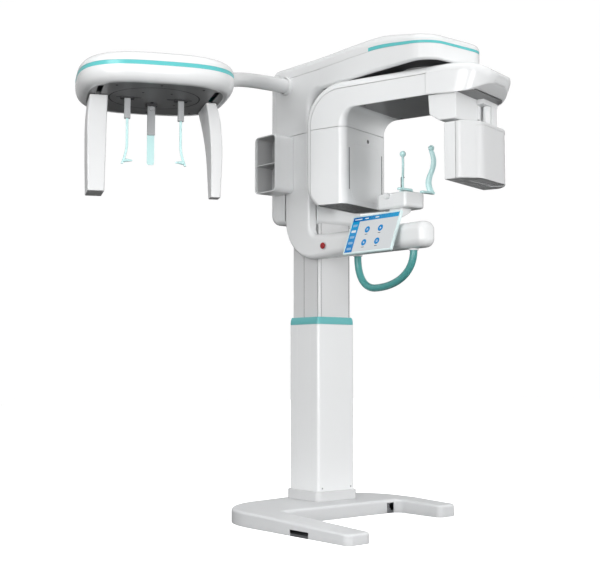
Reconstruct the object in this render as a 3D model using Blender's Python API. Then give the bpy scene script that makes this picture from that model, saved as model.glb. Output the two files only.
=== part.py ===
"""Cone beam CT scanner with a cephalometric head, as an assembly of separate sub-parts.

Metres, +Z up. The origin is the column's axis on the floor, -Y is forward, towards the patient,
and -X is the side of the cephalometric head. The gantry and the head are drawn in frames of
their own, with -Y forward in the gantry and X along the beam in the head.
"""
import bpy
import bmesh
from math import atan2, ceil, cos, pi, radians, sin, tan
from mathutils import Matrix, Vector

# Clearances and walls
GAP = 0.0003            # between pieces that touch
RUN = 0.0007            # around pieces that slide
WALL = 0.0035           # moulded covers
FACET = radians(24)     # largest step round an arc

# Base
BASE_PLATE = 0.012      # steel thickness
BASE_TOP = 0.069        # top of the base cover
BASE_FILLET = 0.014
LEG_BEND = -0.275       # the cover starts to fall here
LEG_TIP = -0.907        # end of the long left leg
SHORT_TIP = -0.547      # end of the short right leg
LEG_DROP = 0.30         # share of the height lost at the long leg's end
BASE_LEFT = -0.634
BASE_RIGHT = 0.405
BAY_BACK = -0.262       # back wall of the bay between the legs

# Column
COLUMN_X = 0.120        # half width of the fixed column
COLUMN_Y = 0.114
COLUMN_WALL = 0.004
COLUMN_TOP = 0.945
COLLAR_HIGH = 0.037
COLLAR_TOP = COLUMN_TOP + COLLAR_HIGH
FOOT_TOP = 0.117
INNER = 0.1055          # half width of the lifting column
INNER_LOW = 0.500
ACTUATOR_R = 0.030
ACTUATOR_TOP = 0.660
ROD_R = 0.0246

# Carriage and overhead arm. Every height above the column is taken from the carriage's.
BODY_X = 0.182          # half width of the carriage
BODY_FRONT = -0.115
BODY_REAR = 0.200
BODY_LOW = 1.442
LOWER_COVER = 0.178     # heights of the carriage's covers
MIDDLE_COVER = 0.285
UPPER_COVER = 0.200     # from the middle cover to the arm's underside
TRAY_DEEP = 0.103
LID_DEEP = 0.067
SEAM_LOW = BODY_LOW + LOWER_COVER
SEAM_HIGH = SEAM_LOW + MIDDLE_COVER
ARM_UNDER = SEAM_HIGH + UPPER_COVER     # underside of the overhead arm
LID_SEAM = ARM_UNDER + TRAY_DEEP
ARM_TOP = LID_SEAM + LID_DEEP
INNER_TOP = SEAM_LOW - 0.020
RAIL_LOW = ARM_UNDER + 0.060            # underside of the rail that the gantry slides on
RAIL_DEEP = 0.035
SLIDE_DEEP = 0.030
ARM_X = 0.206           # half width of the overhead arm at its front
ARM_FRONT = -0.965
ARM_SEAM = -0.200       # joint between carriage and overhead arm
STRIPE_BACK = -0.580
STRIPE_HIGH = 0.011
DROOP = 0.30            # share of the height lost at the arm's front

# Patient arm, grip, screen and chin rest
PATIENT_BELOW = 0.057   # from the carriage's underside to the arm's top
PATIENT_DEEP = 0.120
PATIENT_TOP = BODY_LOW - PATIENT_BELOW
PATIENT_LOW = PATIENT_TOP - PATIENT_DEEP
PATIENT_END = -0.905
PATIENT_X = -0.087      # inner face of the forward bar
LIMB_X = -0.128         # inner face of the limb beside the carriage
LIMB_REAR = 0.074
GRIP_R = 0.017
GRIP_DROP = 0.182
GRIP_LOW = PATIENT_LOW - GRIP_DROP
POST_HIGH = 0.090
HEAD_DEEP = 0.075
HEAD_LOW = PATIENT_TOP + POST_HIGH
HEAD_TOP = HEAD_LOW + HEAD_DEEP
PEG_AT = (0.0, -0.620)  # chin cup's peg
ROD_AT = (-0.004, -0.590)
KNOB_AT = (-0.582, HEAD_TOP - 0.015)    # y and z of the temple knob's axis
STOP_AT = (-0.231, PATIENT_LOW + 0.057)
SCREEN_WIDE = 0.327
SCREEN_TALL = 0.200
SCREEN_THICK = 0.014
SCREEN_TILT = 20.8      # degrees back from upright
SCREEN_MID = (-0.2185, -0.611, PATIENT_TOP - 0.035)
HINGE_R = 0.010

# Gantry, in its own frame
GANTRY_AXIS = (0.0, -0.758)
GANTRY_TURN = 15.0      # degrees about +Z at rest
GANTRY_X = 0.193        # half width
HUB_HIGH = 0.022
BEAM_DEEP = 0.135
BEND = 0.200            # outer radius of the C's bend
HOUSING_HIGH = 0.450    # from the beam's underside down to the housing's
GANTRY_TOP = ARM_UNDER - HUB_HIGH
BEAM_UNDER = GANTRY_TOP - BEAM_DEEP
HOUSING_LOW = BEAM_UNDER - HOUSING_HIGH
HOUSING_SEAM = BEAM_UNDER - 0.084
HOUSING_REAR = 0.566
HOUSING_FRONT = 0.336
NOSE_SEAM = -0.100
NOSE_TIP = -0.385
NOSE_LEAN = 0.45        # how far the nose's top leans out, for each metre of height
LID_BAND = 0.038        # depth of the outer cover behind the seam
UNDERPLATE = 0.003
UNDERPLATE_FRONT = -0.322
HUB_R = 0.120
BOSS_R = 0.070
SHAFT_R = 0.050
SHIFT = 0.015           # travel of the gantry's slide each way
FRAME_BAR = 0.030

# Detector, in the gantry's frame
DETECTOR_X = 0.190
DETECTOR_FACE = -0.191
DETECTOR_SPLIT = -0.250
DETECTOR_SIDE = -0.275
DETECTOR_BULGE = -0.345
DETECTOR_HIGH = 0.256
YOKE_DEEP = 0.120
NECK_GAP = 0.016        # from the yoke's underside to the detector
NECK = (0.095, -0.262)
NECK_R = 0.017
PIN_R = 0.008
YOKE_LOW = BEAM_UNDER - YOKE_DEEP
DETECTOR_TOP = YOKE_LOW - NECK_GAP
DETECTOR_LOW = DETECTOR_TOP - DETECTOR_HIGH

# Cephalometric head, in its own frame
CEPH_AT = (-1.203, -0.305)
CEPH_TURN = -24.3
CEPH_L = 0.330          # half size along the beam
CEPH_W = 0.335          # half size across it
CEPH_MID = 0.015        # centre of the cap across the beam
CEPH_DROP = 0.225       # from the overhead arm's underside to the rim's
RIM_DEEP = 0.065
CEPH_STRIPE_HIGH = 0.017
DOME_HIGH = 0.058
CEPH_LOW = ARM_UNDER - CEPH_DROP
CEPH_STRIPE = CEPH_LOW + RIM_DEEP
CEPH_TOP = CEPH_STRIPE + CEPH_STRIPE_HIGH + DOME_HIGH
CEPH_PLATE = 0.005
PLATE_INSET = 0.050
DISC_R = 0.1915
EAR_AT = 0.115
EAR_LONG = 0.270        # from the plate down to the ear plug's axis
NASION_AT = 0.100
NASION_LONG = 0.138     # length of the nasion bar below the plate
POST_LONG = 0.410
POST_LOW = CEPH_LOW - POST_LONG
POST_IN = 0.088         # middle of the post's slot, in from the cap's side along the beam
SLOT_NEAR = 0.0097047   # metal left between the near end of the post's slot and the plate's edge
SLOT_FAR = 0.0157047    # and at its far end
ARM_IN = 0.0406291      # end of the head's arm, in from the cap's side along the beam
ARM_ASIDE = 0.0503836   # and to the side of the beam

COLOURS = {
    "white_plastic": ((0.86, 0.87, 0.87), 0.35, 0.0),
    "grey_plastic": ((0.62, 0.63, 0.64), 0.45, 0.0),
    "base_grey": ((0.72, 0.73, 0.74), 0.40, 0.0),
    "teal_trim": ((0.15, 0.55, 0.55), 0.35, 0.0),
    "teal_grip": ((0.12, 0.40, 0.37), 0.45, 0.0),
    "pale_teal": ((0.45, 0.76, 0.75), 0.30, 0.0),
    "dark_plate": ((0.09, 0.09, 0.10), 0.35, 0.0),
    "red_button": ((0.45, 0.03, 0.04), 0.35, 0.0),
    "steel": ((0.45, 0.46, 0.48), 0.35, 1.0),
    "aluminium": ((0.70, 0.71, 0.72), 0.40, 1.0),
}


def clear_scene():
    for item in list(bpy.data.objects):
        bpy.data.objects.remove(item, do_unlink=True)


def material(name, paint):
    colour, roughness, metallic = COLOURS[paint]
    made = bpy.data.materials.new(name)
    made.use_nodes = True
    shader = made.node_tree.nodes["Principled BSDF"]
    shader.inputs["Base Color"].default_value = (*colour, 1.0)
    shader.inputs["Roughness"].default_value = roughness
    shader.inputs["Metallic"].default_value = metallic
    return made


# Outlines

def outline(corners, inset=0.0):
    """Closed counter-clockwise outline through corners (x, y, radius), drawn in by inset.

    A corner keeps its number of points at every inset, so that outlines can be skinned together.
    """
    count = len(corners)
    spots = [Vector((corner[0], corner[1])) for corner in corners]
    ring = []
    for index, corner in enumerate(corners):
        back = (spots[index] - spots[index - 1]).normalized()
        ahead = (spots[(index + 1) % count] - spots[index]).normalized()
        turn = atan2(back.x * ahead.y - back.y * ahead.x, back.dot(ahead))
        in_back = Vector((-back.y, back.x))
        in_ahead = Vector((-ahead.y, ahead.x))
        place = spots[index] + (in_back + in_ahead) * inset / (1 + in_back.dot(in_ahead))
        if corner[2] <= 0:
            ring.append(place)
            continue
        bend = 1 if turn > 0 else -1
        radius = max(corner[2] - inset * bend, 0.0008)
        steps = max(1, ceil(abs(turn) / FACET))
        start = place - back * radius * tan(abs(turn) / 2)
        centre = start + in_back * radius * bend
        for step in range(steps + 1):
            ring.append(centre + Matrix.Rotation(turn * step / steps, 2) @ (start - centre))
    return [(spot.x, spot.y) for spot in ring]


def box_corners(x_low, x_high, y_low, y_high, radius=0.0):
    return [(x_low, y_low, radius), (x_high, y_low, radius), (x_high, y_high, radius), (x_low, y_high, radius)]


def circle(radius, sides, centre=(0.0, 0.0)):
    turns = [2 * pi * side / sides for side in range(sides)]
    return [(centre[0] + radius * cos(turn), centre[1] + radius * sin(turn)) for turn in turns]


def cap_outline(inset=0.0, power=3.2, count=40):
    """Superellipse of the cephalometric cap, drawn in by inset."""
    ring = []
    for step in range(count):
        turn = 2 * pi * step / count
        across = abs(cos(turn)) ** (2 / power) * (CEPH_L - inset)
        along = abs(sin(turn)) ** (2 / power) * (CEPH_W - inset)
        ring.append((across if cos(turn) > 0 else -across, CEPH_MID + (along if sin(turn) > 0 else -along)))
    return ring


def cap_reach(x, inset, power=3.2):
    """How far the cap's superellipse, drawn in by inset, runs across the beam at x."""
    return (CEPH_W - inset) * (1 - (x / (CEPH_L - inset)) ** power) ** (1 / power)


def arc(start, end, steps):
    """Angles in radians from start to end degrees."""
    return [radians(start + (end - start) * step / steps) for step in range(steps + 1)]


# Solids

AXES = {
    "z": lambda u, v, h: (u, v, h),
    "x": lambda u, v, h: (h, u, v),
    "y": lambda u, v, h: (v, h, u),
}


def rings_at(levels, axis="z"):
    """3-D rings from levels (flat ring, height) along an axis."""
    lift = AXES[axis]
    return [[lift(u, v, height) for u, v in ring] for ring, height in levels]


def skin(name, rings, paint, frame=None, closed=False, change=None):
    """Solid through rings of equal length, capped at both ends or closed round into a tube."""
    bm = bmesh.new()
    rows = []
    for ring in rings:
        spots = [change(Vector(spot)) for spot in ring] if change else ring
        rows.append([bm.verts.new(spot) for spot in spots])
    pairs = list(zip(rows, rows[1:]))
    if closed:
        pairs.append((rows[-1], rows[0]))
    size = len(rows[0])
    for low, high in pairs:
        for side in range(size):
            after = (side + 1) % size
            bm.faces.new((low[side], low[after], high[after], high[side]))
    if not closed:
        bm.faces.new(list(reversed(rows[0])))
        bm.faces.new(rows[-1])
    return finish(name, bm, paint, frame)


def finish(name, bm, paint, frame=None):
    bmesh.ops.recalc_face_normals(bm, faces=bm.faces)
    bmesh.ops.triangulate(bm, faces=[face for face in bm.faces if len(face.verts) > 4])
    if bm.calc_volume(signed=True) < 0:
        bmesh.ops.reverse_faces(bm, faces=bm.faces)
    mesh = bpy.data.meshes.new(name)
    bm.to_mesh(mesh)
    bm.free()
    mesh.shade_smooth()
    mesh.set_sharp_from_angle(angle=radians(35))
    item = bpy.data.objects.new(name, mesh)
    bpy.context.collection.objects.link(item)
    if paint:
        mesh.materials.append(material(name, paint))
    item.parent = frame
    return item


def prism(name, corners, low, high, paint, axis="z", frame=None, change=None):
    """Straight extrusion of an outline between two heights along an axis."""
    ring = outline(corners)
    return skin(name, rings_at([(ring, low), (ring, high)], axis), paint, frame, change=change)


def pillow(name, corners, low, high, fillet_low, fillet_high, paint, axis="z", frame=None, steps=2):
    """Extrusion whose two end edges are rounded."""
    levels = []
    for turn in arc(90, 0, steps) if fillet_low else [0.0]:
        levels.append((outline(corners, fillet_low * (1 - cos(turn))), low + fillet_low * (1 - sin(turn))))
    for turn in arc(0, 90, steps) if fillet_high else [0.0]:
        levels.append((outline(corners, fillet_high * (1 - cos(turn))), high - fillet_high * (1 - sin(turn))))
    return skin(name, rings_at(levels, axis), paint, frame)


def cylinder(name, radius, low, high, paint, centre=(0.0, 0.0), axis="z", frame=None, sides=18):
    ring = circle(radius, sides, centre)
    return skin(name, rings_at([(ring, low), (ring, high)], axis), paint, frame)


def turned(name, profile, paint, centre=(0.0, 0.0), axis="z", frame=None, sides=18):
    """Solid of revolution from a profile of (radius, height)."""
    levels = [(circle(radius, sides, centre), height) for radius, height in profile]
    return skin(name, rings_at(levels, axis), paint, frame)


def tube(name, corners, wall, low, high, paint, axis="z", frame=None):
    """Straight tube, open at both ends."""
    outer = outline(corners)
    inner = outline(corners, wall)
    levels = [(outer, low), (outer, high), (inner, high), (inner, low)]
    return skin(name, rings_at(levels, axis), paint, frame, closed=True)


def bezier(start, pull, push, end, steps):
    """Points of a cubic curve."""
    spots = []
    for step in range(steps + 1):
        share = step / steps
        rest = 1 - share
        spots.append(Vector(start) * rest ** 3 + Vector(pull) * 3 * rest ** 2 * share
                     + Vector(push) * 3 * rest * share ** 2 + Vector(end) * share ** 3)
    return spots


def sweep_rings(spots, radii, side, sides, first=None, last=None):
    """Round sections across a path, with the side vector kept square to it."""
    rings = []
    for index, spot in enumerate(spots):
        ahead = spots[min(index + 1, len(spots) - 1)] - spots[max(index - 1, 0)]
        if index == 0 and first:
            ahead = Vector(first)
        if index == len(spots) - 1 and last:
            ahead = Vector(last)
        across = (Vector(side) - ahead * (ahead.dot(Vector(side)) / ahead.length_squared)).normalized()
        up = across.cross(ahead.normalized())
        rings.append([tuple(spot + across * radii[index] * x + up * radii[index] * y)
                      for x, y in circle(1.0, sides)])
    return rings


def cover_levels(shape, low, high, fillet, wall, steps=3):
    """Levels of a cover open below: down its inner wall, round its rim and up its outer wall."""
    levels = []
    for turn in arc(90, 0, steps):
        inset = fillet - (fillet - wall) * cos(turn)
        levels.append((shape(inset), high - fillet + (fillet - wall) * sin(turn)))
    levels.append((shape(wall), low))
    levels.append((shape(0.0), low))
    for turn in arc(0, 90, steps):
        levels.append((shape(fillet * (1 - cos(turn))), high - fillet * (1 - sin(turn))))
    return levels


def section_ring(station, inset=0.0):
    """Rounded section between an inner and an outer rail in the Y-Z plane.

    A station is (inner point, outer point, low x, high x, inner radius, outer radius, trim).
    """
    inner, outer, x_low, x_high, r_inner, r_outer, trim = station
    inner = Vector(inner)
    span = Vector(outer) - inner
    length = span.length
    corners = [(x_low, 0.0, r_inner), (x_high, 0.0, r_inner), (x_high, length, r_outer), (x_low, length, r_outer)]
    ring = []
    for x, reach in outline(corners, inset + trim):
        spot = inner + span * (reach / length)
        ring.append((x, spot.x, spot.y))
    return ring


def cut(target, cutter, operation="DIFFERENCE"):
    cutter.hide_render = True
    cutter.display_type = "WIRE"
    boolean = target.modifiers.new(cutter.name, "BOOLEAN")
    boolean.operation = operation
    boolean.object = cutter
    boolean.solver = "EXACT"
    return target


def cut_box(target, name, x, y, z, frame=None, operation="DIFFERENCE"):
    """Cuts, keeps or adds a plain box given by its ranges."""
    box = prism(name, box_corners(x[0], x[1], y[0], y[1]), z[0], z[1], None, frame=frame)
    return cut(target, box, operation)


def frame_at(name, place, turn):
    """Empty that stands for a frame turned about +Z by degrees."""
    empty = bpy.data.objects.new(name, None)
    bpy.context.collection.objects.link(empty)
    empty.location = place
    empty.rotation_euler = (0.0, 0.0, radians(turn))
    return empty


# Base and column

def hang(item, axis):
    """Parent a built item to the empty on its joint's axis, and leave it where it stands."""
    frame = item.parent
    if frame and axis.parent is None:
        axis.parent = frame
    item.parent = axis
    item.matrix_parent_inverse = Matrix.Translation(axis.location).inverted()


def base_corners():
    return [
        (BASE_RIGHT, SHORT_TIP, 0.030), (BASE_RIGHT, 0.115, 0.310), (0.0, 0.172, 0.900),
        (BASE_LEFT, 0.085, 0.330), (BASE_LEFT, LEG_TIP, 0.035), (BASE_LEFT + 0.137, LEG_TIP, 0.035),
        (BASE_LEFT + 0.159, BAY_BACK, 0.030), (BASE_RIGHT - 0.127, BAY_BACK, 0.045),
        (BASE_RIGHT - 0.120, SHORT_TIP, 0.030),
    ]


def fall(spot):
    """The base cover gets thinner towards the ends of its legs."""
    along = max(0.0, (LEG_BEND - spot.y) / (LEG_BEND - LEG_TIP))
    return Vector((spot.x, spot.y, spot.z * (1 - LEG_DROP * along)))


def base_cover_mesh():
    corners = base_corners()
    levels = cover_levels(lambda inset: outline(corners, inset), 0.001, BASE_TOP, BASE_FILLET, WALL)
    bm = bmesh.new()
    rows = [[bm.verts.new((x, y, height)) for x, y in ring] for ring, height in levels]
    size = len(rows[0])
    for low, high in zip(rows, rows[1:]):
        for side in range(size):
            after = (side + 1) % size
            bm.faces.new((low[side], low[after], high[after], high[side]))
    bm.faces.new(list(reversed(rows[0])))
    bm.faces.new(rows[-1])
    bmesh.ops.recalc_face_normals(bm, faces=bm.faces)
    everything = list(bm.verts) + list(bm.edges) + list(bm.faces)
    bmesh.ops.bisect_plane(bm, geom=everything, dist=1e-7, plane_co=(0, LEG_BEND, 0), plane_no=(0, 1, 0))
    for vertex in bm.verts:
        vertex.co = fall(vertex.co)
    return finish("base_cover", bm, "base_grey")


def build_base():
    prism("base_plate", inset_corners(base_corners(), WALL + GAP), 0.0, BASE_PLATE, "steel")
    cover = base_cover_mesh()
    hole_x = COLUMN_X + RUN
    hole_y = COLUMN_Y + RUN
    cut_box(cover, "column_hole", (-hole_x, hole_x), (-hole_y, hole_y), (BASE_TOP / 2, BASE_TOP * 2))
    cut_box(cover, "cable_notch", (BASE_LEFT - 0.02, BASE_LEFT + 0.02), (-0.653, -0.526), (-0.01, 0.028))
    cut_box(cover, "bolt_recess", (0.206, 0.250), (BAY_BACK - 0.02, BAY_BACK + 0.010), (-0.01, 0.052))
    turned("levelling_bolt", [(0.014, BASE_PLATE + GAP), (0.014, 0.024), (0.010, 0.025), (0.010, 0.060)],
           "steel", centre=(0.229, BAY_BACK + 0.019), sides=16)


def inset_corners(corners, inset):
    """The corner list of an outline drawn in by inset."""
    count = len(corners)
    moved = []
    for index, corner in enumerate(corners):
        spot = Vector(corner[:2])
        back = (spot - Vector(corners[index - 1][:2])).normalized()
        ahead = (Vector(corners[(index + 1) % count][:2]) - spot).normalized()
        bend = 1 if back.x * ahead.y - back.y * ahead.x > 0 else -1
        in_back = Vector((-back.y, back.x))
        in_ahead = Vector((-ahead.y, ahead.x))
        place = spot + (in_back + in_ahead) * inset / (1 + in_back.dot(in_ahead))
        radius = max(corner[2] - inset * bend, 0.0008) if corner[2] > 0 else 0.0
        moved.append((place.x, place.y, radius))
    return moved


def build_column():
    column = box_corners(-COLUMN_X, COLUMN_X, -COLUMN_Y, COLUMN_Y, 0.015)
    tube("lower_column", column, COLUMN_WALL, BASE_PLATE + GAP, COLUMN_TOP, "white_plastic")
    foot_in = inset_corners(column, -GAP)
    foot_out = inset_corners(column, -0.0095)
    low = BASE_TOP + GAP
    levels = [
        (outline(foot_out), low), (outline(foot_out), FOOT_TOP - 0.003),
        (outline(foot_out, 0.003), FOOT_TOP), (outline(foot_in), FOOT_TOP), (outline(foot_in), low),
    ]
    skin("column_foot", rings_at(levels), "base_grey", closed=True)
    inner = box_corners(-INNER, INNER, -INNER, INNER, 0.012)
    collar_in = outline(inset_corners(inner, -RUN))
    collar_out = inset_corners(column, -0.0005)
    low = COLUMN_TOP + GAP
    levels = [
        (outline(collar_out), low), (outline(collar_out), low + 0.006),
        (outline(collar_out, 0.006), COLLAR_TOP - 0.003), (outline(collar_out, 0.0085), COLLAR_TOP),
        (collar_in, COLLAR_TOP), (collar_in, low),
    ]
    skin("column_collar", rings_at(levels), "teal_trim", closed=True)
    lifting = tube("inner_column", inner, 0.0045, INNER_LOW, INNER_TOP, "white_plastic")
    for side in (-1, 1):
        inside = side * (INNER - 0.0025)
        outside = side * (INNER + 0.004)
        x_range = (min(inside, outside), max(inside, outside))
        cut_box(lifting, "groove", x_range, (0.010, 0.019), (INNER_LOW - 0.01, INNER_TOP + 0.01))
    low = BASE_PLATE + GAP
    bore = ROD_R + RUN
    levels = [(circle(ACTUATOR_R, 18), low), (circle(ACTUATOR_R, 18), ACTUATOR_TOP),
              (circle(bore, 18), ACTUATOR_TOP), (circle(bore, 18), low)]
    skin("lift_actuator", rings_at(levels), "aluminium", closed=True)
    cylinder("actuator_rod", ROD_R, 0.460, INNER_TOP, "steel")


# Carriage and overhead arm

def carriage_profile(grow):
    """Side outline of the carriage in Y-Z, run on past the seams so that they can be cut square."""
    high = ARM_TOP + 0.025 + grow * 4
    front = -0.30 - grow * 4
    return [
        (BODY_FRONT, BODY_LOW, 0.030), (BODY_REAR, BODY_LOW + 0.020, 0.055), (BODY_REAR, high, 0.0),
        (front, high, 0.0), (front, ARM_UNDER, 0.0), (BODY_FRONT, ARM_UNDER, 0.080),
    ]


def carriage_core(name, paint):
    """The carriage's hollow body before it is split into covers."""
    fillet = 0.030
    outer = pillow(name, carriage_profile(0), -BODY_X, BODY_X, fillet, fillet, paint, axis="x")
    inside = carriage_profile(0.02)
    levels = []
    half = BODY_X - WALL
    for turn in arc(90, 0, 3):
        inset = (fillet - WALL) * (1 - cos(turn))
        levels.append((inside_ring(inside, inset), -half + (fillet - WALL) * (1 - sin(turn))))
    for turn in arc(0, 90, 3):
        inset = (fillet - WALL) * (1 - cos(turn))
        levels.append((inside_ring(inside, inset), half - (fillet - WALL) * (1 - sin(turn))))
    cut(outer, skin(name + "_inside", rings_at(levels, "x"), None))
    hole = INNER + RUN
    cut_box(outer, name + "_column_hole", (-hole, hole), (-hole, hole), (BODY_LOW - 0.05, BODY_LOW + 0.08))
    return outer


def inside_ring(corners, inset):
    """Ring inside the wall, open at the top and the front, where the profile runs on."""
    return outline(corners, WALL + inset)


def build_carriage():
    far = 0.4
    split = 0.149
    rear = carriage_core("carriage_rear_cover", "white_plastic")
    cut_box(rear, "rear_keep", (-far, far), (split + GAP, far), (1.0, LID_SEAM - GAP), operation="INTERSECT")
    upper = carriage_core("carriage_upper_cover", "white_plastic")
    cut_box(upper, "upper_keep", (-far, far), (ARM_SEAM, split), (SEAM_HIGH, LID_SEAM - GAP),
            operation="INTERSECT")
    middle = carriage_core("carriage_middle_cover", "white_plastic")
    cut_box(middle, "middle_keep", (-far, far), (ARM_SEAM, split), (SEAM_LOW, SEAM_HIGH - GAP),
            operation="INTERSECT")
    lower = carriage_core("carriage_lower_cover", "white_plastic")
    cut_box(lower, "lower_keep", (-far, far), (ARM_SEAM, split), (1.0, SEAM_LOW - GAP),
            operation="INTERSECT")
    cut_box(lower, "arm_notch", (-far, LIMB_X + GAP), (-far, LIMB_REAR + GAP), (1.0, SEAM_LOW + 0.01))
    rail = RAIL_LOW
    frame_profile = [
        (-0.060, INNER_TOP + GAP, 0.0), (0.130, INNER_TOP + GAP, 0.0), (0.130, rail + RAIL_DEEP, 0.020),
        (-0.930, rail + RAIL_DEEP, 0.010), (-0.930, rail, 0.0), (-0.160, rail, 0.040), (-0.060, rail - 0.115, 0.040),
    ]
    ring_out = outline(frame_profile)
    ring_in = outline(frame_profile, 0.010)
    levels = [(ring_out, -0.075), (ring_out, 0.075), (ring_in, 0.075), (ring_in, -0.075)]
    skin("carriage_frame", rings_at(levels, "x"), "aluminium", closed=True)


def arm_corners(rear, rear_radius=0.0):
    return [
        (-ARM_X, ARM_FRONT, 0.110), (ARM_X, ARM_FRONT, 0.110), (ARM_X, -0.500, 1.500),
        (BODY_X, ARM_SEAM, 1.500), (BODY_X, rear, rear_radius), (-BODY_X, rear, rear_radius),
        (-BODY_X, ARM_SEAM, 1.500), (-ARM_X, -0.500, 1.500),
    ]


def droop(spot):
    """The overhead arm gets thinner towards its front."""
    along = min(1.0, max(0.0, (-spot.y - 0.60) / 0.38))
    ease = along * along * (3 - 2 * along)
    high = spot.z - ARM_UNDER
    return Vector((spot.x, spot.y, ARM_UNDER + high * (1 - DROOP * ease))) if high > 0 else spot


def build_overhead():
    corners = arm_corners(0.0)
    fillet = 0.026
    levels = []
    rim = LID_SEAM - GAP
    levels.append((outline(corners, WALL), rim))
    for turn in arc(0, 90, 3):
        inset = fillet - (fillet - WALL) * cos(turn)
        levels.append((outline(corners, inset), ARM_UNDER + fillet - (fillet - WALL) * sin(turn)))
    inner = list(reversed(levels))
    outer = [(outline(corners, fillet * (1 - cos(turn))), ARM_UNDER + fillet * (1 - sin(turn)))
             for turn in arc(90, 0, 3)]
    outer.append((outline(corners), rim))
    path = outer + levels
    tray = skin("overhead_cover", rings_at(path), "white_plastic", change=droop)
    cut_box(tray, "overhead_back", (-0.4, 0.4), (ARM_SEAM - GAP, 0.4), (2.0, 2.4))
    x, y = GANTRY_AXIS
    reach = SHAFT_R + 0.005
    slot = [(x - reach, y - reach - SHIFT, reach * 0.98), (x + reach, y - reach - SHIFT, reach * 0.98),
            (x + reach, y + reach + SHIFT, reach * 0.98), (x - reach, y + reach + SHIFT, reach * 0.98)]
    cut(tray, prism("hub_slot", slot, ARM_UNDER - 0.05, ARM_UNDER + 0.025, None))
    lid_corners = arm_corners(BODY_REAR, 0.050)
    levels = cover_levels(lambda inset: outline(lid_corners, inset), LID_SEAM, ARM_TOP, 0.042, WALL)
    lid = skin("overhead_lid", rings_at(levels), "white_plastic", change=droop)
    groove = stripe_corners(0.0018, 0.010, GAP)
    cut(lid, prism("stripe_groove", groove, LID_SEAM - 0.02, LID_SEAM + STRIPE_HIGH + GAP, None, change=droop))
    prism("overhead_stripe", stripe_corners(0.0015, 0.0, 0.0), LID_SEAM, LID_SEAM + STRIPE_HIGH, "teal_trim",
          change=droop)


def stripe_corners(depth, proud, extra):
    """Strip round the front of the overhead arm."""
    out = 0.110
    back = STRIPE_BACK + extra
    x_out = ARM_X + proud
    x_in = ARM_X - depth
    return [
        (-x_out, back, 0.0), (-x_out, ARM_FRONT - proud, out + proud), (x_out, ARM_FRONT - proud, out + proud),
        (x_out, back, 0.0), (x_in, back, 0.0), (x_in, ARM_FRONT + depth, out - depth),
        (-x_in, ARM_FRONT + depth, out - depth), (-x_in, back, 0.0),
    ]


def build_storage():
    corners = box_corners(0.005, 0.175, SEAM_LOW - 0.010, SEAM_HIGH - 0.003, 0.026)
    root = -BODY_X - GAP
    mouth = -0.300
    wall = 0.004
    levels = [(outline(corners, wall), root - wall), (outline(corners, wall), mouth),
              (outline(corners, 0.001), mouth), (outline(corners), mouth + 0.002), (outline(corners), root)]
    box = skin("storage_box", rings_at(levels, "x"), "grey_plastic")
    middle = (SEAM_LOW + SEAM_HIGH) / 2 - 0.0095
    shelf = prism("shelf", box_corners(mouth + 0.004, root - 0.002, 0.007, 0.173), middle, middle + wall, None)
    cut(box, shelf, "UNION")


# Patient side



def patient_stations():
    """Stations down the limb, round the corner and out along the bar to its domed end."""
    stations = []
    outer_r = 0.215
    corner = (LIMB_REAR - outer_r, PATIENT_LOW + outer_r)
    inner_r = 0.045
    bend = (BODY_FRONT - inner_r, PATIENT_TOP + inner_r)
    face = -BODY_X
    stations.append(((BODY_FRONT, SEAM_LOW - GAP), (LIMB_REAR, SEAM_LOW - GAP), face, LIMB_X, 0.012, 0.012, 0.0))
    for turn in arc(0, -90, 5):
        inner = (bend[0] + inner_r * cos(turn), bend[1] + inner_r * sin(turn))
        outer = (corner[0] + outer_r * cos(turn), corner[1] + outer_r * sin(turn))
        share = -turn / (pi / 2)
        width = LIMB_X if share < 0.85 else LIMB_X + (PATIENT_X - LIMB_X) * (share - 0.85) / 0.30
        edge = 0.012 + 0.012 * share
        stations.append((inner, outer, face, width, edge, edge, 0.0))
    for y in (-0.235, -0.270):
        share = (-0.155 - y) / 0.115
        width = LIMB_X + (PATIENT_X - LIMB_X) * min(1.0, 0.5 + share / 2)
        stations.append(((y, PATIENT_TOP), (y, PATIENT_LOW), face, width, 0.026, 0.026, 0.0))
    dome = 0.036
    for turn in arc(0, 82, 4):
        y = PATIENT_END + dome - dome * sin(turn)
        trim = dome * (1 - cos(turn))
        stations.append(((y, PATIENT_TOP), (y, PATIENT_LOW), face, PATIENT_X, 0.040, 0.040, trim))
    return stations


def build_patient_arm():
    arm = skin("patient_arm", [section_ring(station) for station in patient_stations()], "white_plastic")
    hole = cylinder("stop_hole", 0.0068, -BODY_X - 0.01, -BODY_X + 0.020, None, centre=STOP_AT, axis="x")
    cut(arm, hole)
    face = -BODY_X
    profile = [(0.0062, face + 0.014), (0.0062, face - 0.0048), (0.0150, face - 0.0050),
               (0.0160, face - 0.0080), (0.0150, face - 0.0120), (0.0110, face - 0.0140)]
    turned("stop_button", profile, "red_button", centre=STOP_AT, axis="x")
    x = (face + PATIENT_X) / 2
    top = PATIENT_LOW - GAP
    low = (x, -0.548, GRIP_LOW + GRIP_R)
    spots = bezier((x, -0.425, top), (x, -0.421, top - 0.095), (x, -0.463, low[2]), low, 6)
    spots += bezier(low, (x, -0.663, low[2]), (x, -0.796, top - 0.090), (x, -0.800, top), 7)[1:]
    down = (0.0, 0.0, -1.0)
    rings = sweep_rings(spots, [GRIP_R] * len(spots), (1, 0, 0), 14, first=down, last=(0.0, 0.0, 1.0))
    skin("hand_grip", rings, "teal_grip")


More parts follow.
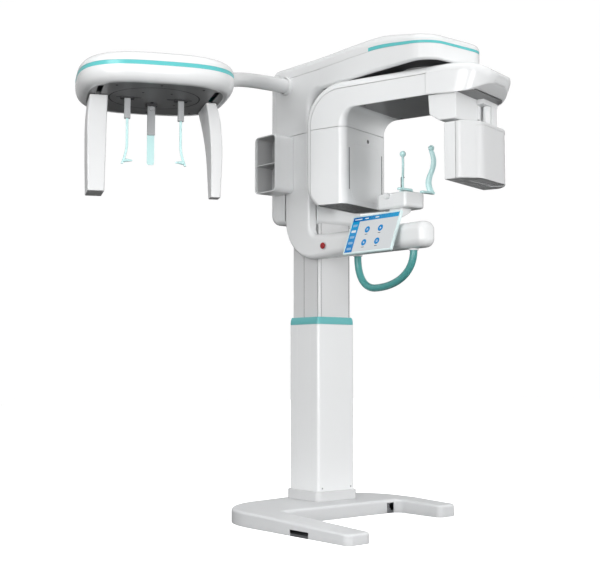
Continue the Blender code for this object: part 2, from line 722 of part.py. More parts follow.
def build_chin_rest():
    levels = []
    y_low, y_high = -0.645, -0.555
    foot = (PATIENT_X - BODY_X) / 2
    for share in (0.0, 0.15, 0.5, 0.85, 1.0):
        ease = share * share * (3 - 2 * share)
        x = foot + (-0.020 - foot) * ease
        half = 0.019 + 0.016 * ease
        corners = box_corners(x - half, x + half, y_low, y_high, 0.012)
        height = PATIENT_TOP + GAP + (HEAD_LOW - GAP * 2 - PATIENT_TOP) * share
        levels.append((outline(corners), height))
    skin("chin_post", rings_at(levels), "white_plastic")
    head = [(-0.082, -0.694, 0.010), (0.060, -0.694, 0.030), (0.060, -0.490, 0.030), (-0.082, -0.490, 0.014)]
    body = pillow("chin_head", head, HEAD_LOW, HEAD_TOP, 0.009, 0.007, "white_plastic")
    cut(body, cylinder("peg_hole", 0.0066, HEAD_TOP - 0.045, HEAD_TOP + 0.01, None, centre=PEG_AT))
    profile = [(0.0147, -0.1040), (0.0152, -0.1020), (0.0152, -0.0850), (0.0140, -0.082 - GAP)]
    turned("temple_knob", profile, "white_plastic", centre=KNOB_AT, axis="x", sides=20)
    knob_axis = frame_at("knob_axis", (profile[0][1], *KNOB_AT), 0.0)
    hang(bpy.data.objects["temple_knob"], knob_axis)
    cup = box_corners(-0.030, 0.030, -0.643, -0.597, 0.012)
    low = HEAD_TOP + GAP
    levels = [(outline(cup, 0.003), low), (outline(cup), low + 0.004), (outline(cup), low + 0.012),
              (outline(cup, 0.003), low + 0.015), (outline(cup, 0.006), low + 0.013), (outline(cup, 0.010), low + 0.008)]
    chin = skin("chin_cup", rings_at(levels), "pale_teal")
    cut(chin, cylinder("peg", 0.0060, HEAD_TOP - 0.040, low + 0.004, None, centre=PEG_AT), "UNION")
    rod_at = Vector((*ROD_AT, HEAD_TOP + GAP))
    high = 0.084
    bend = 0.007
    spots = [Vector((0, 0, 0)), Vector((0, 0, high - bend))]
    spots += [Vector((bend * (1 - cos(turn)), 0, high - bend + bend * sin(turn))) for turn in arc(0, 90, 3)[1:]]
    spots.append(Vector((0.022, 0, high)))
    spots = [rod_at + spot for spot in spots]
    skin("bite_rod", sweep_rings(spots, [0.0024] * len(spots), (0, 1, 0), 8), "dark_plate")
    temple_support("temple_support_left", -0.085, HEAD_TOP + 0.171, -1, (-0.116, -0.030))
    temple_support("temple_support_right", 0.105, HEAD_TOP + 0.222, 1, (0.034, 0.120))


def temple_support(name, x, ball_z, side, foot_x):
    """Strap that sways outwards and back below a ball pad, on a foot that slides on the chin head."""
    y = -0.684
    low = HEAD_TOP + GAP
    sway = Vector((0.633 * side, -0.774))
    along = Vector((sway.y, -sway.x))
    levels = []
    ball = 0.0125
    for share in (0.0, 0.17, 0.34, 0.50, 0.66, 0.83, 1.0):
        height = low + 0.004 + (ball_z - ball - low - 0.002) * share
        push = 0.014 * sin(2 * pi * share) * (-1 if share < 0.5 else -0.8)
        wide = 0.0125 - 0.004 * share
        thick = 0.0045
        levels.append((height, push, wide, thick))
    for turn in arc(-55, 75, 4):
        levels.append((ball_z + ball * sin(turn), 0.0, ball * cos(turn), ball * cos(turn)))
    rings = []
    for height, push, wide, thick in levels:
        ring = []
        for spot in circle(1.0, 10):
            flat = sway * (push + wide * spot[0]) + along * thick * spot[1]
            ring.append((x + flat.x, y + flat.y, height))
        rings.append(ring)
    strap = skin(name, rings, "pale_teal")
    foot = pillow(name + "_foot", box_corners(foot_x[0], foot_x[1], y - 0.012, y + 0.012, 0.008), low, low + 0.011,
                  0.002, 0.003, None, steps=2)
    cut(strap, foot, "UNION")


def build_screen():
    tilt = radians(SCREEN_TILT)
    normal = Vector((-cos(tilt), 0.0, sin(tilt)))
    axis_at = Vector(SCREEN_MID) - normal * (SCREEN_THICK + HINGE_R + GAP)
    frame = bpy.data.objects.new("screen_hinge", None)
    bpy.context.collection.objects.link(frame)
    frame.location = axis_at
    frame.rotation_euler = (0.0, tilt, 0.0)
    half_y = SCREEN_WIDE / 2
    half_z = SCREEN_TALL / 2
    corners = box_corners(-half_y, half_y, -half_z, half_z, 0.008)
    back = -HINGE_R - GAP
    pillow("screen_housing", corners, back - SCREEN_THICK, back, 0.003, 0.004, "white_plastic", axis="x",
           frame=frame, steps=2)
    y_low, y_high = axis_at.y - 0.045, axis_at.y + 0.045
    ring = circle(HINGE_R, 20, (axis_at.z, axis_at.x))
    bracket = skin("screen_bracket", rings_at([(ring, y_low), (ring, y_high)], "y"), "grey_plastic")
    cut_box(bracket, "bracket_web", (axis_at.x, -BODY_X - GAP), (y_low, y_high),
            (axis_at.z - 0.007, axis_at.z + 0.007), operation="UNION")


# Gantry

def gantry_stations(front=NOSE_SEAM):
    """Stations of the C from the beam's front, round the corner and down the tube housing."""
    outer_r = BEND
    inner_r = BEND - BEAM_DEEP
    outer_c = (HOUSING_REAR - outer_r, GANTRY_TOP - outer_r)
    inner_c = (HOUSING_FRONT - inner_r, BEAM_UNDER - inner_r)
    stations = []
    for y in (front, 0.08):
        stations.append(((y, BEAM_UNDER), (y, GANTRY_TOP), 0.004, 0.040))
    for turn in arc(90, 0, 6):
        share = 1 - turn / (pi / 2)
        inner = (inner_c[0] + inner_r * cos(turn), inner_c[1] + inner_r * sin(turn))
        outer = (outer_c[0] + outer_r * cos(turn), outer_c[1] + outer_r * sin(turn))
        stations.append((inner, outer, 0.004 + 0.032 * share, 0.040))
    for outer, drop in ((HOUSING_REAR, 0.110), (HOUSING_REAR - 0.004, 0.075), (HOUSING_REAR - 0.020, 0.040),
                        (HOUSING_REAR - 0.055, 0.0)):
        z = HOUSING_LOW + drop
        stations.append(((HOUSING_FRONT, z), (outer, z), 0.036, 0.040))
    return [(inner, outer, -GANTRY_X, GANTRY_X, low, high, 0.0) for inner, outer, low, high in stations]


def gantry_shell(name, frame, paint="white_plastic"):
    stations = gantry_stations()
    rings = [section_ring(station) for station in stations]
    rings += [section_ring(station, WALL) for station in reversed(stations)]
    return skin(name, rings, paint, frame, closed=True)


def seam_region(gap):
    """Region inside the seam that runs parallel to the C's outer edge."""
    y_high = HOUSING_REAR - LID_BAND - gap
    z_high = GANTRY_TOP - LID_BAND - gap
    radius = BEND - LID_BAND - gap
    return [(-1.0, 1.0, 0.0), (y_high, 1.0, 0.0), (y_high, z_high, radius), (-1.0, z_high, 0.0)]


def nose_ring(forward, inset):
    """Section of the nose at a distance forward of the axis, drawn in by inset."""
    start = 0.200
    length = -NOSE_TIP - start
    along = max(0.0, min(0.995, (forward - start) / length))
    half = GANTRY_X * (1 - along ** 3.0) ** (1 / 3.0)
    fall_top = max(0.0, (forward - 0.12) / (-NOSE_TIP - 0.12))
    top = GANTRY_TOP - 0.020 * fall_top ** 2 - 0.036 * along ** 4
    low = BEAM_UNDER - 0.013 * min(1.0, fall_top * 1.3) + 0.055 * along ** 4
    corners = [(-half, low, 0.006), (half, low, 0.006), (half, top, 0.038), (-half, top, 0.038)]
    middle = (GANTRY_TOP + BEAM_UNDER) / 2
    lean = NOSE_LEAN * min(1.0, fall_top)
    return [(x, -forward - lean * (z - middle), z) for x, z in outline(corners, inset)]


def nose_rings(wall):
    first = -NOSE_SEAM + GAP
    reach = -NOSE_TIP - 0.002 - first
    distances = [first + reach * share for share in (0.0, 0.27, 0.44, 0.59, 0.72, 0.83, 0.92, 0.973, 1.0)]
    return [nose_ring(forward if not wall or step == 0 else forward - wall * step / 8, wall)
            for step, forward in enumerate(distances)]


def underplate_corners(grow):
    half = GANTRY_X - 0.0058 + grow
    front = UNDERPLATE_FRONT - grow
    back = HOUSING_FRONT - 0.074 + grow
    return [(-half, front, 0.075), (half, front, 0.075), (half, back, 0.0), (-half, back, 0.0)]


def build_gantry(frame):
    lid = gantry_shell("gantry_back_cover", frame)
    cut(lid, prism("inside_seam", seam_region(0.0), -0.3, 0.3, None, axis="x", frame=frame))
    cut(lid, cylinder("hub_hole", BOSS_R + RUN, GANTRY_TOP - 0.033, GANTRY_TOP + 0.037, None, frame=frame, sides=32))
    region = seam_region(GAP)
    beam = gantry_shell("gantry_beam_cover", frame)
    cut(beam, prism("beam_keep", region, -0.3, 0.3, None, axis="x", frame=frame), "INTERSECT")
    cut_box(beam, "below_seam", (-0.3, 0.3), (-0.5, 0.7), (1.2, HOUSING_SEAM + GAP), frame)
    opening = prism("underplate_opening", underplate_corners(GAP), BEAM_UNDER - 0.05, BEAM_UNDER + 0.009, None, frame=frame)
    cut(beam, opening)
    housing = gantry_shell("tube_housing_cover", frame)
    cut(housing, prism("housing_keep", region, -0.3, 0.3, None, axis="x", frame=frame), "INTERSECT")
    cut_box(housing, "above_seam", (-0.3, 0.3), (-0.5, 0.7), (HOUSING_SEAM, 2.3), frame)
    for side in (-1, 1):
        x = side * (GANTRY_X - 0.047)
        cut_box(housing, "beam_slot", (x - 0.004, x + 0.004), (HOUSING_FRONT - 0.03, HOUSING_FRONT + 0.02),
                (HOUSING_LOW + 0.087, HOUSING_LOW + 0.277), frame)
    rings = list(reversed(nose_rings(WALL))) + nose_rings(0.0)
    nose = skin("gantry_nose_cover", rings, "white_plastic", frame)
    cut(nose, prism("nose_opening", underplate_corners(GAP), BEAM_UNDER - 0.05, BEAM_UNDER + 0.009, None, frame=frame))
    prism("gantry_underplate", underplate_corners(0.0), BEAM_UNDER + 0.0005, BEAM_UNDER + 0.0005 + UNDERPLATE,
          "dark_plate", frame=frame)
    floor_low = HOUSING_LOW + 0.004
    floor_y = (HOUSING_FRONT + WALL + RUN, HOUSING_REAR - 0.055 - WALL - RUN)
    floor_x = GANTRY_X - WALL - RUN
    floor = prism("tube_housing_floor", box_corners(-floor_x, floor_x, floor_y[0], floor_y[1], 0.036),
                  floor_low, floor_low + 0.003, "dark_plate", frame=frame)
    for step in range(6):
        y = floor_y[0] + 0.028 + 0.020 * step
        cut_box(floor, "floor_vent", (-0.100, 0.100), (y - 0.004, y + 0.004), (floor_low - 0.01, floor_low + 0.01),
                frame)
    top = GANTRY_TOP - WALL - GAP
    bar = FRAME_BAR
    foot = HOUSING_LOW + 0.127
    rear = HOUSING_REAR - 0.031
    bend = BEND - 0.020
    profile = [(-0.100, top, 0.0), (-0.270, top - 0.015, 0.0), (-0.270, top - bar, 0.0), (rear - bar, top - bar, bend - bar),
               (rear - bar, foot, 0.0), (rear, foot, 0.0), (rear, top, bend)]
    prism("gantry_frame", profile, -0.050, 0.050, "aluminium", axis="x", frame=frame)
    back = HOUSING_FRONT + 0.036
    pillow("x_ray_tube_head", box_corners(-0.105, 0.105, back, rear - bar - GAP, 0.012), HOUSING_LOW + 0.062, HOUSING_LOW + 0.247,
           0.006, 0.006, "aluminium", frame=frame, steps=2)
    prism("collimator_box", box_corners(-0.060, 0.060, HOUSING_FRONT + 0.006, back - GAP, 0.004), HOUSING_LOW + 0.112, HOUSING_LOW + 0.202, "steel",
          frame=frame)
    hub_low = top + GAP
    profile = [(BOSS_R, hub_low), (BOSS_R, GANTRY_TOP + 0.0045), (HUB_R, GANTRY_TOP + 0.0050),
               (HUB_R, ARM_UNDER - 0.0015), (SHAFT_R, ARM_UNDER - 0.0010), (SHAFT_R, RAIL_LOW - SLIDE_DEEP - GAP)]
    turned("gantry_hub", profile, "dark_plate", frame=frame, sides=32)


def build_slide():
    x, y = GANTRY_AXIS
    low = RAIL_LOW - SLIDE_DEEP
    prism("shift_plate", box_corners(x - 0.065, x + 0.065, y - 0.085, y + 0.205, 0.010), low, RAIL_LOW - GAP,
          "steel")
    cylinder("slew_motor", 0.042, low - 0.023, low - GAP, "dark_plate", centre=(x, y + 0.145))


def detector_corners():
    return [
        (-DETECTOR_X, DETECTOR_FACE, 0.006), (-DETECTOR_X - 0.006, DETECTOR_SIDE, 0.045),
        (-DETECTOR_X + 0.060, DETECTOR_BULGE, 0.110), (DETECTOR_X - 0.060, DETECTOR_BULGE, 0.110),
        (DETECTOR_X + 0.006, DETECTOR_SIDE, 0.045), (DETECTOR_X, DETECTOR_FACE, 0.006),
    ]


def detector_shell(name, frame):
    corners = detector_corners()
    shell = pillow(name, corners, DETECTOR_LOW, DETECTOR_TOP, 0.005, 0.005, "white_plastic", frame=frame, steps=2)
    inside = prism(name + "_inside", inset_corners(corners, WALL), DETECTOR_LOW + WALL, DETECTOR_TOP - WALL, None,
                   frame=frame)
    return cut(shell, inside)


def build_detector(frame):
    split = DETECTOR_SPLIT
    front = detector_shell("detector_front_cover", frame)
    cut_box(front, "front_keep", (-0.3, 0.3), (split + GAP, 0.0), (1.4, 2.0), frame, "INTERSECT")
    back = detector_shell("detector_back_cover", frame)
    cut_box(back, "back_keep", (-0.3, 0.3), (-0.5, split), (1.4, 2.0), frame, "INTERSECT")
    face = DETECTOR_FACE - WALL - GAP
    prism("detector_panel", box_corners(-0.125, 0.125, face - 0.016, face, 0.003), DETECTOR_LOW + 0.03,
          DETECTOR_TOP - 0.03, "dark_plate", frame=frame)
    seat = BEAM_UNDER - 0.0235
    profile = [(NECK_R, DETECTOR_TOP + GAP), (NECK_R, seat), (PIN_R, seat + 0.0005), (PIN_R, BEAM_UNDER - 0.004)]
    turned("detector_neck", profile, "white_plastic", centre=NECK, frame=frame)
    swing = frame_at("detector_swing_axis", (*NECK, DETECTOR_TOP), 0.0)
    for name in ("detector_front_cover", "detector_back_cover", "detector_panel", "detector_neck"):
        hang(bpy.data.objects[name], swing)
    top = BEAM_UNDER + 0.0005 - GAP
    side = NECK_R + 0.0012
    wide = NECK[0] - side - 0.030
    left = -GANTRY_X + 0.016
    rear = -0.105
    front = -0.245
    profile = [(rear, top), (front, top), (front, YOKE_LOW), (rear - 0.055, YOKE_LOW), (rear - 0.006, YOKE_LOW + 0.032)]
    yoke = prism("detector_yoke", [(*spot, 0.0) for spot in reversed(profile)], left, wide, "white_plastic",
                 axis="x", frame=frame)
    ear_front = NECK[1] - 0.018
    ear_end = GANTRY_X - 0.024
    under = seat + 0.002
    cut_box(yoke, "yoke_bridge", (wide - 0.02, ear_end), (ear_front, -0.120), (under, top), frame, "UNION")
    cut_box(yoke, "yoke_ear", (NECK[0] + side, ear_end - 0.001), (ear_front + 0.001, ear_front + 0.060),
            (YOKE_LOW, top - 0.001), frame, "UNION")
    cut_box(yoke, "yoke_web", (wide - 0.015, NECK[0] - side), (front + 0.005, front + 0.045),
            (YOKE_LOW + 0.034, top - 0.001), frame, "UNION")
    hole = cylinder("pin_hole", PIN_R + RUN, under - 0.01, BEAM_UNDER - 0.0025, None, centre=NECK, frame=frame)
    cut(yoke, hole)


# Cephalometric head

def build_ceph(frame):
    shape = cap_outline
    rim = PLATE_INSET - 0.004
    levels = [
        (shape(rim), CEPH_LOW), (shape(rim - 0.014), CEPH_LOW + 0.002), (shape(0.014), CEPH_LOW + 0.014),
        (shape(0.003), CEPH_LOW + 0.034), (shape(0.0), CEPH_STRIPE - GAP), (shape(WALL), CEPH_STRIPE - GAP),
        (shape(0.0065), CEPH_LOW + 0.036), (shape(0.018), CEPH_LOW + 0.018), (shape(rim), CEPH_LOW + 0.0075),
    ]
    skin("ceph_rim", rings_at(levels), "white_plastic", frame, closed=True)
    stripe_top = CEPH_STRIPE + CEPH_STRIPE_HIGH
    levels = [(shape(0.0), CEPH_STRIPE), (shape(0.0), stripe_top), (shape(WALL), stripe_top),
              (shape(WALL), CEPH_STRIPE)]
    skin("ceph_stripe", rings_at(levels), "teal_trim", frame, closed=True)
    low = stripe_top + GAP
    dome = [(0.0, low), (0.004, low + 0.016), (0.018, low + 0.033), (0.050, low + 0.047), (0.110, CEPH_TOP)]
    outer = [(shape(inset), height) for inset, height in dome]
    inner = [(shape(inset + WALL * 0.8), height - WALL) for inset, height in reversed(dome[1:])]
    inner.append((shape(WALL), low))
    skin("ceph_lid", rings_at(inner + outer), "white_plastic", frame)
    plate_low = CEPH_LOW + 0.002
    plate_top = plate_low + CEPH_PLATE
    ring = shape(PLATE_INSET - 0.004 + GAP)
    plate = skin("ceph_plate", rings_at([(ring, plate_low), (ring, plate_top)]), "dark_plate", frame)
    cut(plate, cylinder("disc_hole", DISC_R + 0.0008, plate_low - 0.01, plate_top + 0.01, None, frame=frame, sides=48))
    for side in (-1, 1):
        x = side * (CEPH_L - POST_IN)
        reach = cap_reach(abs(x) + 0.008, PLATE_INSET - 0.004 + GAP)
        slot = (CEPH_MID - reach + SLOT_NEAR, CEPH_MID + reach - SLOT_FAR)
        cut_box(plate, "post_slot", (x - 0.008, x + 0.008), slot, (plate_low - 0.01, plate_top + 0.01), frame)
    disc = cylinder("ceph_disc", DISC_R, plate_low, plate_top, "dark_plate", frame=frame, sides=48)
    for side in (-1, 1):
        x = side * EAR_AT
        cut_box(disc, "ear_slot", (x - 0.062, x + 0.048) if side > 0 else (x - 0.048, x + 0.062), (-0.006, 0.006),
                (plate_low - 0.01, plate_top + 0.01), frame)
    cut_box(disc, "nasion_slot", (-0.007, 0.007), (NASION_AT - 0.040, NASION_AT + 0.040),
            (plate_low - 0.01, plate_top + 0.01), frame)
    for name, side in (("ear_rod_left", -1), ("ear_rod_right", 1)):
        ear_rod(name, side, plate_low, plate_top, frame)
    nasion(plate_low, plate_top, frame)
    posts(plate_top, frame)


def ear_rod(name, side, plate_low, plate_top, frame):
    """Slider over the disc, bracket below it, thin rod and an ear plug that points inwards."""
    x = side * EAR_AT
    plug_at = CEPH_LOW - EAR_LONG
    stem = CEPH_LOW - 0.092
    levels = [
        (box_corners(x - 0.016, x + 0.016, -0.014, 0.014, 0.003), plate_top + 0.012),
        (box_corners(x - 0.016, x + 0.016, -0.014, 0.014, 0.003), plate_top + GAP),
        (box_corners(x - 0.010, x + 0.010, -0.0053, 0.0053, 0.003), plate_top + GAP),
        (box_corners(x - 0.010, x + 0.010, -0.0053, 0.0053, 0.003), plate_low - GAP),
        (box_corners(x - 0.013, x + 0.013, -0.012, 0.012, 0.005), plate_low - GAP),
        (box_corners(x - 0.013, x + 0.013, -0.012, 0.012, 0.005), stem + 0.002),
        (box_corners(x - 0.0055, x + 0.0055, -0.005, 0.005, 0.003), stem),
        (box_corners(x - 0.0055, x + 0.0055, -0.005, 0.005, 0.003), plug_at + 0.070),
    ]
    for drop, out in ((0.025, 0.003), (0.048, 0.009), (0.074, 0.017), (0.084, 0.020)):
        place = x + side * out
        levels.append((box_corners(place - 0.005, place + 0.005, -0.0045, 0.0045, 0.003), plug_at + 0.070 - drop))
    rod = skin(name, rings_at([(outline(corners), height) for corners, height in levels]), "pale_teal", frame)
    root = x + side * 0.016
    profile = [(0.0090, 0.0), (0.0085, 0.008), (0.0050, 0.030), (0.0030, 0.040)]
    plug = turned(name + "_plug", [(radius, root - side * reach) for radius, reach in profile], None,
                  centre=(0.0, plug_at), axis="x", frame=frame, sides=8)
    cut(rod, plug, "UNION")


def nasion(plate_low, plate_top, frame):
    y = NASION_AT
    levels = [
        (box_corners(-0.016, 0.016, y - 0.014, y + 0.014, 0.003), plate_top + 0.012),
        (box_corners(-0.016, 0.016, y - 0.014, y + 0.014, 0.003), plate_top + GAP),
        (box_corners(-0.0063, 0.0063, y - 0.007, y + 0.007, 0.003), plate_top + GAP),
        (box_corners(-0.0063, 0.0063, y - 0.007, y + 0.007, 0.003), plate_low - GAP),
        (box_corners(-0.017, 0.017, y - 0.008, y + 0.008, 0.004), plate_low - GAP),
        (box_corners(-0.017, 0.017, y - 0.008, y + 0.008, 0.004), plate_low - NASION_LONG),
    ]
    bar = skin("nasion_bar", rings_at([(outline(corners), height) for corners, height in levels]), "grey_plastic",
               frame)
    knob = cylinder("nasion_knob", 0.011, y - 0.020, y, None, centre=(CEPH_LOW - 0.022, 0.0), axis="y", frame=frame,
                    sides=16)
    cut(bar, knob, "UNION")
    back = y + 0.008 + GAP
    pad = [(0.001, 0.0), (0.0, 0.028), (-0.001, 0.060), (0.0, 0.190)]
    rings = []
    for push, high in pad:
        corners = box_corners(-0.016, 0.016, back, back + 0.005 + push, 0.002)
        rings.append((outline(corners), plate_low - NASION_LONG - 0.1295 + high))
    skin("nasion_pad", rings_at(rings), "pale_teal", frame)


def posts(plate_top, frame):
    """Sensor post and collimator post, each on a slider over its slot."""
    post_top = CEPH_LOW - GAP * 2
    for name, side, out, sections in (
        ("sensor_post", -1, 0.025, (
            ((-0.034, 0.042), (-0.075, 0.090), post_top), ((-0.041, 0.039), (-0.075, 0.088), CEPH_LOW - 0.080),
            ((-0.042, 0.036), (-0.075, 0.086), CEPH_LOW - 0.230), ((-0.038, 0.032), (-0.075, 0.084), POST_LOW))),
        ("collimator_post", 1, 0.085, (
            ((-0.017, 0.028), (-0.100, 0.105), post_top), ((-0.006, 0.046), (-0.096, 0.090), CEPH_LOW - 0.060),
            ((0.006, 0.058), (-0.088, 0.060), CEPH_LOW - 0.160), ((0.013, 0.056), (-0.070, -0.002), POST_LOW))),
    ):
        x = side * (CEPH_L - POST_IN)
        middle = CEPH_MID + out
        neck = box_corners(x - 0.006, x + 0.006, middle - 0.025, middle + 0.025, 0.004)
        slider = box_corners(x - 0.018, x + 0.018, middle - 0.035, middle + 0.035, 0.004)
        levels = [(slider, plate_top + 0.014), (slider, plate_top + GAP), (neck, plate_top + GAP),
                  (neck, post_top)]
        for x_range, y_range, height in sections:
            corners = box_corners(x + x_range[0], x + x_range[1], middle + y_range[0], middle + y_range[1], 0.006)
            levels.append((corners, height))
        skin(name, rings_at([(outline(corners), height) for corners, height in levels]), "white_plastic", frame)


def build_ceph_arm():
    """Bent tube from the carriage to the cap, with a collar ring at the carriage."""
    start = Vector((-BODY_X - GAP, 0.060, ARM_UNDER + 0.065))
    bend = Vector((-0.520, 0.020, ARM_UNDER + 0.060))
    turn = radians(CEPH_TURN)
    end = Vector((CEPH_AT[0] + (CEPH_L - ARM_IN) * cos(turn) + ARM_ASIDE * sin(turn),
                  CEPH_AT[1] + (CEPH_L - ARM_IN) * sin(turn) - ARM_ASIDE * cos(turn), CEPH_STRIPE + CEPH_STRIPE_HIGH))
    spots = bezier(start, start + Vector((-0.225, 0.0, -0.003)), end.lerp(bend, 2 / 3), end, 11)
    rows = []
    for wall in (0.0, 0.004):
        radii = [0.038 - 0.007 * index / 11 - wall for index in range(12)]
        rows.append(sweep_rings(spots, radii, (0, 0, 1), 16, first=(-1, 0, 0)))
    arm = skin("ceph_arm_tube", rows[0] + list(reversed(rows[1])), "white_plastic", closed=True)
    frame = bpy.data.objects["ceph_frame"]
    ring = cap_outline(-GAP)
    cut(arm, skin("cap_clear", rings_at([(ring, CEPH_LOW - 0.05), (ring, CEPH_TOP + 0.05)]), None, frame))
    centre = (start.y, start.z)
    outer = 0.047
    inner = 0.038 + RUN * 3
    root = start.x
    levels = [(circle(outer, 20, centre), root), (circle(outer, 20, centre), root - 0.014),
              (circle(outer - 0.004, 20, centre), root - 0.020), (circle(inner + 0.0008, 20, centre), root - 0.020),
              (circle(inner + 0.0008, 20, centre), root)]
    skin("ceph_arm_collar", rings_at(levels, "x"), "white_plastic", closed=True)


def build():
    clear_scene()
    gantry = frame_at("gantry_frame_axis", (*GANTRY_AXIS, 0.0), GANTRY_TURN)
    ceph = frame_at("ceph_frame", (*CEPH_AT, 0.0), CEPH_TURN)
    build_base()
    build_column()
    build_carriage()
    build_overhead()
    build_storage()
    build_patient_arm()
    build_chin_rest()
    build_screen()
    build_gantry(gantry)
    build_slide()
    build_detector(gantry)
    build_ceph(ceph)
    build_ceph_arm()


build()
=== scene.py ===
from math import radians

import bmesh
import bpy
import numpy as np
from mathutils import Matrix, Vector


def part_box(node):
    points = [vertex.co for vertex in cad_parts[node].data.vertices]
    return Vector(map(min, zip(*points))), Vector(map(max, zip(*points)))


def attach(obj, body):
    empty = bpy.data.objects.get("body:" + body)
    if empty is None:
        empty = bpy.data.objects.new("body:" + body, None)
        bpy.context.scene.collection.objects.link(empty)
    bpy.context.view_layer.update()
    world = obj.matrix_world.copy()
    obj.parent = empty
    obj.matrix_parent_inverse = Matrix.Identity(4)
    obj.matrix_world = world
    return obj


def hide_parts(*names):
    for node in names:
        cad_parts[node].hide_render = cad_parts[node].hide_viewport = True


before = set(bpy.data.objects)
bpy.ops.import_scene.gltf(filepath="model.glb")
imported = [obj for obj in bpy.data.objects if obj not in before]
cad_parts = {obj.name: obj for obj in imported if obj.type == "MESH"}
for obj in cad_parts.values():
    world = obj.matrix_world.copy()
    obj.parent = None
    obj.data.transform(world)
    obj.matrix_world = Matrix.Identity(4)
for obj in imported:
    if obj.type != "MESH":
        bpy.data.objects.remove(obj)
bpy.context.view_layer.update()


# The base cover: one deep grey moulding, open below, that drops over the steel plate.
# It thins towards the ends of its two legs and has a notch for the mains lead.

def rounded(corners, inset=0.0, step=7.5):
    """Closed outline: straight runs between corners (x, y, radius), an arc of that radius at each
    corner, and the whole drawn in by inset along its normals. Gives an (n, 2) array."""
    spots = np.array(corners, float)
    flat = spots[:, :2]
    back = flat - np.roll(flat, 1, axis=0)
    back /= np.linalg.norm(back, axis=1)[:, None]
    ahead = np.roll(back, -1, axis=0)
    bends = np.arctan2(back[:, 0] * ahead[:, 1] - back[:, 1] * ahead[:, 0], (back * ahead).sum(1))
    inward = np.stack([-back[:, 1], back[:, 0]], 1)
    after = np.roll(inward, -1, axis=0)
    places = flat + (inward + after) * inset / (1 + (inward * after).sum(1))[:, None]
    parts = []
    for place, along, normal, bend, radius in zip(places, back, inward, bends, spots[:, 2]):
        if radius <= 0:
            parts.append(place[None])
            continue
        side = np.sign(bend)
        radius = max(radius - inset * side, 0.0006)
        start = place - along * radius * np.tan(abs(bend) / 2)
        centre = start + normal * radius * side
        turns = np.linspace(0, bend, max(2, int(np.ceil(np.degrees(abs(bend)) / step)) + 1))
        arm = start - centre
        parts.append(centre + np.stack([arm[0] * np.cos(turns) - arm[1] * np.sin(turns),
                                        arm[0] * np.sin(turns) + arm[1] * np.cos(turns)], 1))
    return np.vstack(parts)


def about(middle, half):
    """The range that reaches half to each side of a middle."""
    return middle - half, middle + half


def box_corners(x, y, radius=0.0, upper=None):
    """Corners of a rectangle given by its two ranges, for rounded. The upper two may be rounder."""
    upper = radius if upper is None else upper
    return [(x[0], y[0], radius), (x[1], y[0], radius), (x[1], y[1], upper), (x[0], y[1], upper)]


def box_outline(x, y, radius=0.0, upper=None):
    return rounded(box_corners(x, y, radius, upper))


def drawn(corners, pairs):
    """Levels of one outline, each drawn in by its own inset, from (inset, height) pairs."""
    return [(rounded(corners, inset), height) for inset, height in pairs]


def quarter(fillet, count=6):
    """(inset, drop) down a quarter circle, from the rim of an edge to its flat."""
    turns = np.linspace(0, np.pi / 2, count + 1)
    return list(zip(fillet * (1 - np.cos(turns)), fillet * (1 - np.sin(turns))))


def rising(corners, low, fillet, trim=0.0, count=6, step=7.5):
    """Levels up the rounded lower edge of a body whose flat lies at low."""
    return [(rounded(corners, trim + inset, step), low + drop)
            for inset, drop in reversed(quarter(fillet, count))]


def closing(corners, high, fillet, trim=0.0, count=6, step=7.5):
    """Levels up the rounded upper edge of a body whose flat lies at high."""
    return [(rounded(corners, trim + inset, step), high - drop) for inset, drop in quarter(fillet, count)]


def solid(name, rows, closed=False):
    """Mesh through rows of equal length: quads between rows, and a face across each end."""
    count, width = rows.shape[:2]
    low = np.arange(count if closed else count - 1)[:, None] * width
    high = (low + width) % (count * width)
    side = np.arange(width)[None]
    after = (side + 1) % width
    faces = np.stack([low + side, low + after, high + after, high + side], -1).reshape(-1, 4).tolist()
    if not closed:
        faces.append(list(range(width))[::-1])
        faces.append(list(range((count - 1) * width, count * width)))
    mesh = bpy.data.meshes.new(name)
    mesh.from_pydata(rows.reshape(-1, 3).tolist(), [], faces)
    outward(mesh)
    piece = bpy.data.objects.new(name, mesh)
    bpy.context.scene.collection.objects.link(piece)
    return piece


def outward(mesh):
    """Turns every face outwards."""
    work = bmesh.new()
    work.from_mesh(mesh)
    bmesh.ops.recalc_face_normals(work, faces=work.faces)
    if work.calc_volume(signed=True) < 0:
        bmesh.ops.reverse_faces(work, faces=work.faces)
    work.to_mesh(mesh)
    work.free()


def skin(name, levels, axis="z", place=None, closed=False):
    """Solid through levels of (outline, height) along an axis, carried to its place."""
    order = {"z": [0, 1, 2], "x": [2, 0, 1], "y": [1, 2, 0]}[axis]
    rows = [np.column_stack([outline, np.full(len(outline), height)]) for outline, height in levels]
    rows = np.array(rows)[:, :, order]
    return solid(name, place(rows) if place else rows, closed)


def prism(outline, heights, axis="z", place=None, name="tool"):
    return skin(name, [(outline, height) for height in heights], axis, place)


def block(x, y, z, place=None, name="tool"):
    """Plain box given by its ranges."""
    return prism(box_outline(x, y), z, "z", place, name)


def bake(piece):
    """Applies the piece's modifiers to its mesh."""
    seen = piece.evaluated_get(bpy.context.evaluated_depsgraph_get())
    mesh = bpy.data.meshes.new_from_object(seen)
    piece.modifiers.clear()
    piece.data = mesh


def carve(piece, *tools, operation="DIFFERENCE"):
    """The piece after a Boolean with each tool, which is used up."""
    for tool in tools:
        cut = piece.modifiers.new("cut", "BOOLEAN")
        cut.object = tool
        cut.operation = operation
        cut.solver = "EXACT"
        bake(piece)
        bpy.data.objects.remove(tool)
    return piece


